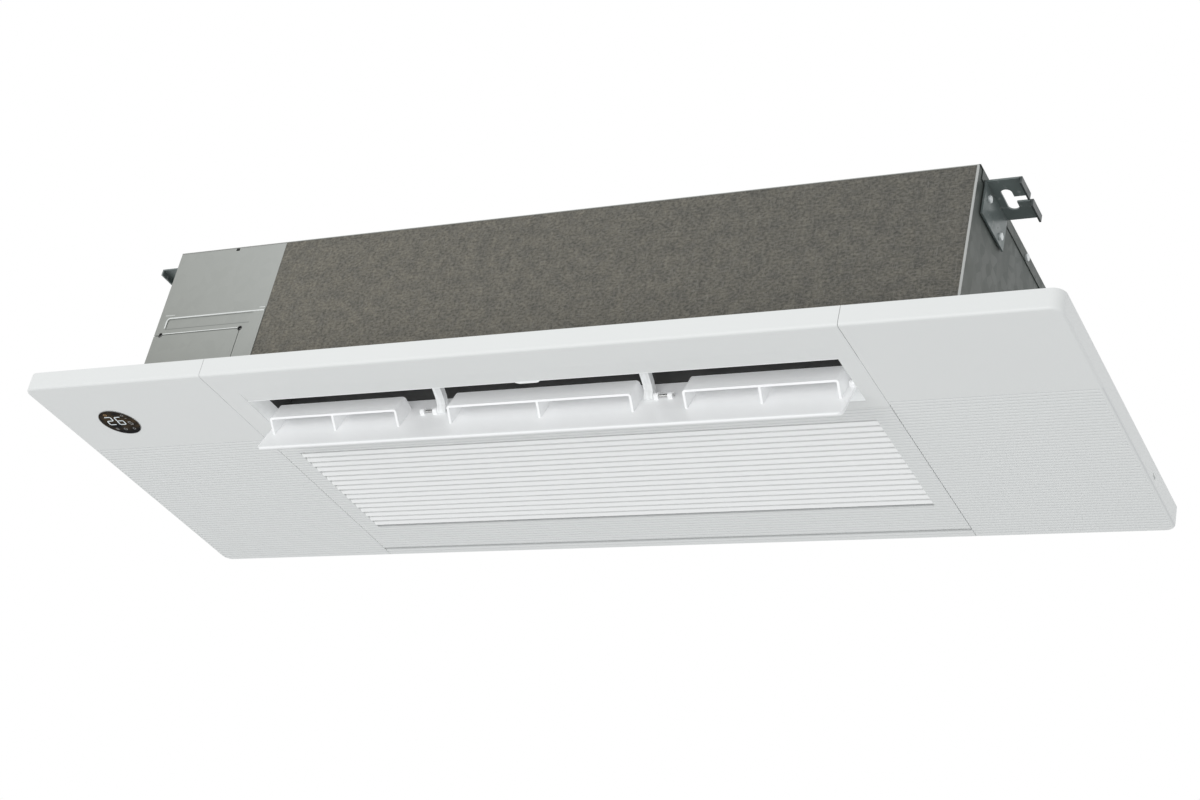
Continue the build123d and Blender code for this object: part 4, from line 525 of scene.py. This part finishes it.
# The vertical vanes swing on pins in the duct, a lighter grey, joined by one link bar. A crank
# on the motor's shaft drives the bar.
vane_grey = moulded("vane_grey", (0.30, 0.31, 0.30), 0.5, 0.3, 0.05)
VANE_COUNT = 8
for number in range(1, VANE_COUNT + 1):
    vane_grey.cover(f"vane_{number}")
vane_grey.cover("vane_crank")

link_grey = moulded("link_grey", (0.42, 0.43, 0.42), 0.45, 0.25, 0.04)
link_grey.cover("vane_link")

can_steel = turned_steel("can_steel", (0.5, 0.5, 0.49), 0.36, 900.0)
can_steel.cover("vane_motor")


# The intake grille: one large white moulding with slats. Painted light makes the slats' faces
# brighter than the ribbed border round them and gives them a faint glow, and painted shade greys
# the border's grooves.
grille_white = moulded("grille_white", COVER_WHITE)
DOOR_LOW, DOOR_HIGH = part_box("grille_door")
SLATS_LEFT = DOOR_LOW.x + 0.0255
SLATS_RIGHT = DOOR_HIGH.x - 0.0252
SLATS_NEAR = DOOR_LOW.y + 0.0235
SLATS_FAR = DOOR_LOW.y + 0.198
across = grille_white.along("X")
inward = grille_white.along("Y")
in_x = (across > SLATS_LEFT) * (SLATS_RIGHT - across > 0.0)
in_y = (inward > SLATS_NEAR) * (SLATS_FAR - inward > 0.0)
fleck = grille_white.noise(7.0, 3.0)
border = grille_white.mix(fleck, (0.79, 0.802, 0.79), (0.81, 0.822, 0.81))
painted_lit_slats = grille_white.mix(fleck, (0.90, 0.905, 0.895), (0.92, 0.925, 0.915))
border = grille_white.mix(groove_depth(grille_white), border, PAINTED_GROOVE_SHADE)
grille_white.set("Base Color", grille_white.mix(in_x * in_y, border, painted_lit_slats))
painted_glow(grille_white, (0.075, 0.077, 0.077), in_x * in_y)
grille_white.cover("grille_door")

# The filter: a thin blue-grey moulded frame that lies on the grille door, with a woven nylon net
# in each bay.
filter_blue = moulded("filter_blue", (0.30, 0.33, 0.36), 0.5, 0.25, 0.03)
filter_blue.cover("filter_frame")

NET_PITCH = 0.0012
net = Finish("net", (0.16, 0.17, 0.18), 0.6)
warp = (net.along("X") * (2 * math.pi / NET_PITCH)).sine()
weft = (net.along("Y") * (2 * math.pi / NET_PITCH)).sine()
threads = warp.maths("MAXIMUM", warp, weft)
raised = net.ramp(threads, 0.0, 1.0, 0.3, 0.7)
net.set("Base Color", net.mix(raised, (0.03, 0.032, 0.035), (0.24, 0.25, 0.26)))
net.bump(threads, 0.0003, 0.8)
net.cover("filter_mesh")


# The body: folded galvanised sheet, with a faint zinc spangle, dull patches and handling rubs.
def zinc_sheet(name, colour, roughness, metallic, spangle=0.05):
    """Hot-dip galvanised sheet."""
    finish = Finish(name, colour, roughness, metallic)
    crystals = finish.cells(85.0, out="Color")
    grey = finish.node("SeparateColor", {}, {"Color": crystals}, "Red")
    patches = finish.noise(9.0, 4.0)
    finish.set("Base Color", finish.tone(grey * 0.5 + patches * 0.5, spangle))
    rubs = finish.noise(34.0, 5.0, (1.0, 1.0, 0.3))
    uneven = grey * 0.4 + rubs * 0.6
    finish.set("Roughness", finish.ramp(uneven, roughness - 0.08, roughness + 0.12, 0.2, 0.8))
    finish.bump(rubs, 0.0002, 0.12)
    return finish


SHEET_GREY = (0.35, 0.36, 0.34)

zinc = zinc_sheet("zinc", SHEET_GREY, 0.46, 0.5)
zinc.cover("front_plate", "rear_plate", "left_side_plate", "partitions")

# The service cover at the left of the front: the same sheet, with painted light that makes it
# lighter to the upper right, a pressed strip with a painted shadow along its foot, a joggle and a
# knock-out flap between two relief holes, whose painted shade, a little wider than the holes,
# reads near black.
STRIP_FOOT_Z = 0.0795
STRIP_LEFT_X = -0.469
STRIP_RIGHT_X = -0.351
HOLE_LEFT_X = -0.474
HOLE_RIGHT_X = -0.3615
HOLE_Z = 0.072
HOLE_SHADE_INNER = 0.0026
HOLE_SHADE_OUTER = 0.0034

cover_zinc = zinc_sheet("cover_zinc", SHEET_GREY, 0.46, 0.5, 0.04)
COVER_LOW, COVER_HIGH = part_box("left_front_cover")
# Painted light: the sheet is lighter to the upper right.
across = cover_zinc.rise(cover_zinc.along("X"), COVER_LOW.x, COVER_HIGH.x)
upward = cover_zinc.rise(cover_zinc.along("Z"), 0.02, 0.18)
lighter = across * 0.5 + upward * 0.5
sheet = cover_zinc.mix(lighter, (0.305, 0.315, 0.292), (0.42, 0.435, 0.415))
from_strip = (cover_zinc.along("Z") - STRIP_FOOT_Z).size()
right_of = cover_zinc.along("X") > STRIP_LEFT_X
left_of = STRIP_RIGHT_X - cover_zinc.along("X") > 0.0
# Painted shadow: a darker band along the foot of the pressed strip.
shade = cover_zinc.rise(from_strip, 0.0011, 0.0004) * (right_of * left_of)
# Painted shade: a near-black disc a little wider than each relief hole.
for hole_x in (HOLE_LEFT_X, HOLE_RIGHT_X):
    aside = (cover_zinc.along("X") - hole_x).size()
    above = (cover_zinc.along("Z") - HOLE_Z).size()
    away = (aside * aside + above * above).root()
    painted_hole_shade = cover_zinc.rise(away, HOLE_SHADE_OUTER, HOLE_SHADE_INNER)
    sheet = cover_zinc.mix(painted_hole_shade, sheet, (0.01, 0.01, 0.01))
cover_zinc.set("Base Color", cover_zinc.mix(shade * 0.6, sheet, (0.15, 0.16, 0.15)))
cover_zinc.cover("left_front_cover")

# Low ridges follow the bends of the pressed strip, the joggle and the flap's slit; their pale
# colour is a painted highlight for the light that those bends catch.
COVER_FACE_Y = -0.15739


def pressed_edge(bm, path, width, rise):
    """A low rounded ridge along a path of (x, z) points in mm on the cover's face."""
    section = [(-1.0, 0.0), (-0.7, 0.7), (0.0, 1.0), (0.7, 0.7), (1.0, 0.0)]
    rings = []
    for index, point in enumerate(path):
        before = Vector(path[max(index - 1, 0)])
        after = Vector(path[min(index + 1, len(path) - 1)])
        ahead = (after - before).normalized()
        aside = Vector((-ahead.y, ahead.x))
        ring = []
        for across_share, out_share in section:
            spot = Vector(point) + aside * width / 2 * across_share
            out = COVER_FACE_Y - rise / 1000 * out_share
            ring.append(bm.verts.new((spot.x / 1000, out, spot.y / 1000)))
        rings.append(ring)
    for ring, following in zip(rings, rings[1:]):
        for side in range(len(section) - 1):
            bm.faces.new((ring[side], ring[side + 1], following[side + 1], following[side]))
        bm.faces.new((ring[0], following[0], following[-1], ring[-1]))
    bm.faces.new(rings[0])
    bm.faces.new(rings[-1][::-1])


BEND_LEFT = -471.0
BEND_TOP = 94.0
BEND_CORNER = 4.0
CORNER_STEPS = 6
JOGGLE_TOP = 98.2

edges = bmesh.new()
upper_bend = [(BEND_LEFT, 80.5)]
for step in range(CORNER_STEPS + 1):
    turn = step * math.pi / 2 / CORNER_STEPS
    aside = BEND_CORNER - BEND_CORNER * math.cos(turn)
    above = BEND_CORNER * math.sin(turn)
    upper_bend.append((BEND_LEFT + aside, BEND_TOP - BEND_CORNER + above))
upper_bend += [(-400.0, BEND_TOP), (-335.0, BEND_TOP)]
pressed_edge(edges, upper_bend, 1.9, 0.8)
pressed_edge(edges, [(-475.3, JOGGLE_TOP), (-462.0, JOGGLE_TOP)], 0.7, 0.25)
pressed_edge(edges, [(-343.0, JOGGLE_TOP), (-334.8, JOGGLE_TOP)], 0.9, 0.3)
pressed_edge(edges, [(BEND_LEFT, 73.2), (-364.5, 73.2)], 1.1, 0.45)
painted_highlight_zinc = zinc_sheet("painted_highlight_zinc", (0.78, 0.80, 0.78), 0.35, 0.15, 0.03)
add_piece("cover_pressed_edges", edges, painted_highlight_zinc, "cassette_body")

# The right side plate is darker, a grey-green zinc that shows rolling lines, with painted light
# that makes it lighter to its foot. Its narrow edge over the felt is a painted highlight.
SIDE_TOP_Z = 0.17
SIDE_FOOT_Z = 0.02
EDGE_DEPTH = 0.0002

side_zinc = zinc_sheet("side_zinc", (0.098, 0.112, 0.100), 0.5, 0.2, 0.07)
BODY_FRONT_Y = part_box("front_felt")[0].y
painted_edge_highlight = BODY_FRONT_Y + EDGE_DEPTH - side_zinc.along("Y") > 0.0
rolled = side_zinc.noise(90.0, 3.0, (1.0, 1.0, 0.05))
painted_foot_light = side_zinc.rise(side_zinc.along("Z"), SIDE_TOP_Z, SIDE_FOOT_Z)
lighter = painted_foot_light * 0.7 + rolled * 0.3
side_skin = side_zinc.mix(lighter, (0.070, 0.083, 0.077), (0.108, 0.115, 0.101))
side_zinc.set("Base Color", side_zinc.mix(painted_edge_highlight, side_skin, (0.46, 0.47, 0.455)))
side_zinc.cover("right_side_plate")

# The top plate is plain sheet again. Only its turned-down flange over the right side plate has
# the darker colour.
FLANGE_DEPTH = 0.0012

top_zinc = zinc_sheet("top_zinc", SHEET_GREY, 0.46, 0.5)
sheet = top_zinc.tone(top_zinc.noise(9.0, 4.0), 0.06)
flange = top_zinc.along("X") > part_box("right_side_plate")[1].x - FLANGE_DEPTH
top_zinc.set("Base Color", top_zinc.mix(flange, sheet, (0.075, 0.087, 0.08)))
top_zinc.cover("top_plate")

# The hanger brackets are heavy dark plated steel, rubbed bright where washers and hands have been.
# The turned-down lips at the right are darker with painted shade. Bright screws hold plates and
# brackets.
bracket_steel = zinc_sheet("bracket_steel", (0.15, 0.178, 0.174), 0.34, 0.25, 0.08)
worn = bracket_steel.ramp(bracket_steel.noise(120.0, 5.0), 0.0, 1.0, 0.6, 0.72)
plated = bracket_steel.mix(worn, (0.145, 0.172, 0.168), (0.29, 0.31, 0.305))
LIP_DEPTH = 0.0035
LIP_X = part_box("hanger_brackets")[1].x - LIP_DEPTH
painted_lip_shade = bracket_steel.along("X") > LIP_X
bracket_steel.set("Base Color", bracket_steel.mix(painted_lip_shade, plated, (0.05, 0.06, 0.06)))
bracket_steel.cover("hanger_brackets")

screw_steel = zinc_sheet("screw_steel", (0.74, 0.77, 0.77), 0.24, 0.3)
screw_steel.cover("body_screws")


# The felt over the body's front: needled grey-brown fibre, cloudy in large patches, with short
# fibres that lie every way, and painted light that leaves it a shade darker to the right.
felt = Finish("felt", (0.135, 0.126, 0.105), 0.95, Sheen_Weight=0.12)
clouds = felt.noise(70.0, 3.0)
tufts = felt.noise(390.0, 5.0, (0.7, 1.0, 1.0))
fibres = felt.noise(1000.0, 3.0, (1.0, 1.0, 0.14), (0.0, 0.5, 0.0))
cross_fibres = felt.noise(1000.0, 3.0, (0.14, 1.0, 1.0), (0.0, 0.35, 0.0))
in_clouds = felt.ramp(clouds, 0.0, 1.0, 0.36, 0.66)
in_tufts = felt.ramp(tufts, 0.0, 1.0, 0.34, 0.68)
cloudy = felt.mix(in_clouds, (0.112, 0.108, 0.094), (0.154, 0.145, 0.121))
tufted = felt.mix(in_tufts, (0.60, 0.60, 0.60), (1.46, 1.45, 1.42))
lint = felt.ramp(fibres.maths("MAXIMUM", fibres, cross_fibres), 0.0, 1.0, 0.56, 0.80)
FELT_LEFT_X = -0.33
FELT_RIGHT_X = 0.48
painted_falloff_share = felt.rise(felt.along("X"), FELT_LEFT_X, FELT_RIGHT_X)
painted_light_falloff = felt.mix(painted_falloff_share, (1.10, 1.09, 1.06), (0.86, 0.87, 0.88))
ground = felt.mix(1.0, felt.mix(1.0, cloudy, tufted, "MULTIPLY"), painted_light_falloff, "MULTIPLY")
felt.set("Base Color", felt.mix(lint * 0.7, ground, (0.23, 0.222, 0.20)))
felt.bump(fibres + cross_fibres + tufts, 0.0008, 0.7)
felt.cover("front_felt")

# Inside, closed-cell foam sheet lines the roof and the rear against condensation. It is dark
# grey, with small open pores.
liner = Finish("liner", (0.055, 0.056, 0.058), 0.9)
pores = liner.cells(420.0)
liner.set("Base Color", liner.tone(pores, 0.25))
liner.bump(pores, 0.0006, 0.6)
liner.cover("foam_liner")


# The scroll casing and the drain pan: white expanded polystyrene, moulded, whose beads show on
# every face.
def bead_foam(name, colour, beads):
    """White bead foam."""
    finish = Finish(name, colour, 0.85)
    domes = finish.cells(beads)
    edges = finish.cells(beads, "DISTANCE_TO_EDGE")
    finish.set("Base Color", finish.tone(finish.ramp(edges, 0.0, 1.0, 0.0, 0.12), 0.05))
    finish.bump(domes, 0.0007, -0.6)
    return finish


foam_white = bead_foam("foam_white", (0.78, 0.785, 0.775), 230.0)
foam_white.cover("scroll_casing", "drain_pan")


# The cross-flow fan: a dark rotor of glass-filled plastic on two ground shafts, a motor in a
# galvanised can on a pressed bracket, and a bronze bush in a rubber ring at the far end.
fan_plastic = moulded("fan_plastic", (0.07, 0.075, 0.085), 0.44, 0.3, 0.06)
fan_plastic.cover("fan_rotor")

shaft_steel = turned_steel("shaft_steel", (0.58, 0.58, 0.57), 0.22, 2200.0)
shaft_steel.cover("fan_shafts")

fan_motor_can = zinc_sheet("fan_motor_can", (0.34, 0.35, 0.35), 0.36, 0.8)
fan_motor_can.cover("fan_motor")

pressed_zinc = zinc_sheet("pressed_zinc", (0.40, 0.41, 0.39), 0.4, 0.7)
pressed_zinc.cover("motor_bracket")

bronze = turned_steel("bronze", (0.50, 0.34, 0.18), 0.34, 1200.0)
bronze.cover("fan_bearing")


# The evaporator: aluminium fins with a blue-gold water-shedding coat, on drawn copper tubes. The
# two pipes to the outside are copper too, with brass flare unions.
fins = Finish("fins", (0.62, 0.66, 0.68), 0.34, 1.0)
edges = fins.noise(700.0, 2.0, (0.05, 1.0, 1.0))
fins.set("Base Color", fins.mix(fins.noise(14.0, 3.0), (0.56, 0.62, 0.66), (0.70, 0.70, 0.66)))
fins.set("Roughness", fins.ramp(edges, 0.26, 0.46))
fins.bump(edges, 0.0002, 0.4)
fins.cover("evaporator_fins")


def aged_copper(name, bright, dull):
    """Drawn copper with brown, heat-tinted patches."""
    finish = Finish(name, bright, 0.3, 1.0)
    age = finish.ramp(finish.noise(48.0, 5.0), 0.0, 1.0, 0.38, 0.68)
    finish.set("Base Color", finish.mix(age, bright, dull))
    finish.set("Roughness", finish.ramp(age, 0.22, 0.5))
    finish.bump(finish.noise(1300.0, 2.0, (0.08, 1.0, 1.0)), 0.00003, 0.3)
    return finish


copper = aged_copper("copper", (0.78, 0.42, 0.27), (0.42, 0.22, 0.14))
copper.cover("evaporator_tubes", "refrigerant_pipes")

brass = aged_copper("brass", (0.74, 0.58, 0.28), (0.50, 0.38, 0.18))
brass.cover("flare_nuts")


# The condensate pump: a milky sump, a white pump body with its impeller and level float, and a
# ribbed outlet spout.
milky = moulded("milky", (0.72, 0.73, 0.71), 0.3, 0.12, 0.03)
milky.cover("pump_sump", "pump_float")

pump_white = moulded("pump_white", (0.70, 0.705, 0.69), 0.4, 0.2, 0.03)
pump_white.cover("drain_pump")

impeller_blue = moulded("impeller_blue", (0.16, 0.27, 0.40), 0.38, 0.2, 0.04)
impeller_blue.cover("pump_impeller")

spout_grey = moulded("spout_grey", (0.50, 0.51, 0.50), 0.4, 0.3, 0.03)
spout_grey.cover("drain_spout")


# The control box: a folded zinc tray and lid round a green board, with a cream terminal block,
# and a rubber grommet where the supply cable comes in through the side.
box_zinc = zinc_sheet("box_zinc", (0.42, 0.43, 0.42), 0.42, 0.6)
box_zinc.cover("control_box", "control_lid")

TRACK_PITCH = 0.0032
board_green = Finish("board_green", (0.02, 0.13, 0.05), 0.35)
rows = (board_green.along("X") * (2 * math.pi / TRACK_PITCH)).sine()
columns = (board_green.along("Y") * (2 * math.pi / TRACK_PITCH)).sine()
areas = board_green.cells(160.0, out="Color")
turn = board_green.node("SeparateColor", {}, {"Color": areas}, "Red") > 0.5
tracks = turn * rows + (1.0 - turn) * columns
on_track = board_green.ramp(tracks, 0.0, 1.0, 0.35, 0.5)
lacquer = board_green.mix(on_track, (0.012, 0.085, 0.032), (0.035, 0.19, 0.075))
board_green.set("Base Color", lacquer)
board_green.bump(tracks, 0.00005, 0.5)
board_green.cover("main_board")

terminal_cream = moulded("terminal_cream", (0.66, 0.61, 0.47), 0.45, 0.25, 0.03)
terminal_cream.cover("terminal_block")

rubber = Finish("rubber", (0.028, 0.028, 0.028), 0.7)
rubber.set("Roughness", rubber.ramp(rubber.noise(120.0, 4.0), 0.55, 0.85))
rubber.set("Base Color", rubber.tone(rubber.noise(30.0, 3.0), 0.3))
rubber.bump(rubber.noise(1500.0), 0.00008, 0.5)
rubber.cover("cable_grommet")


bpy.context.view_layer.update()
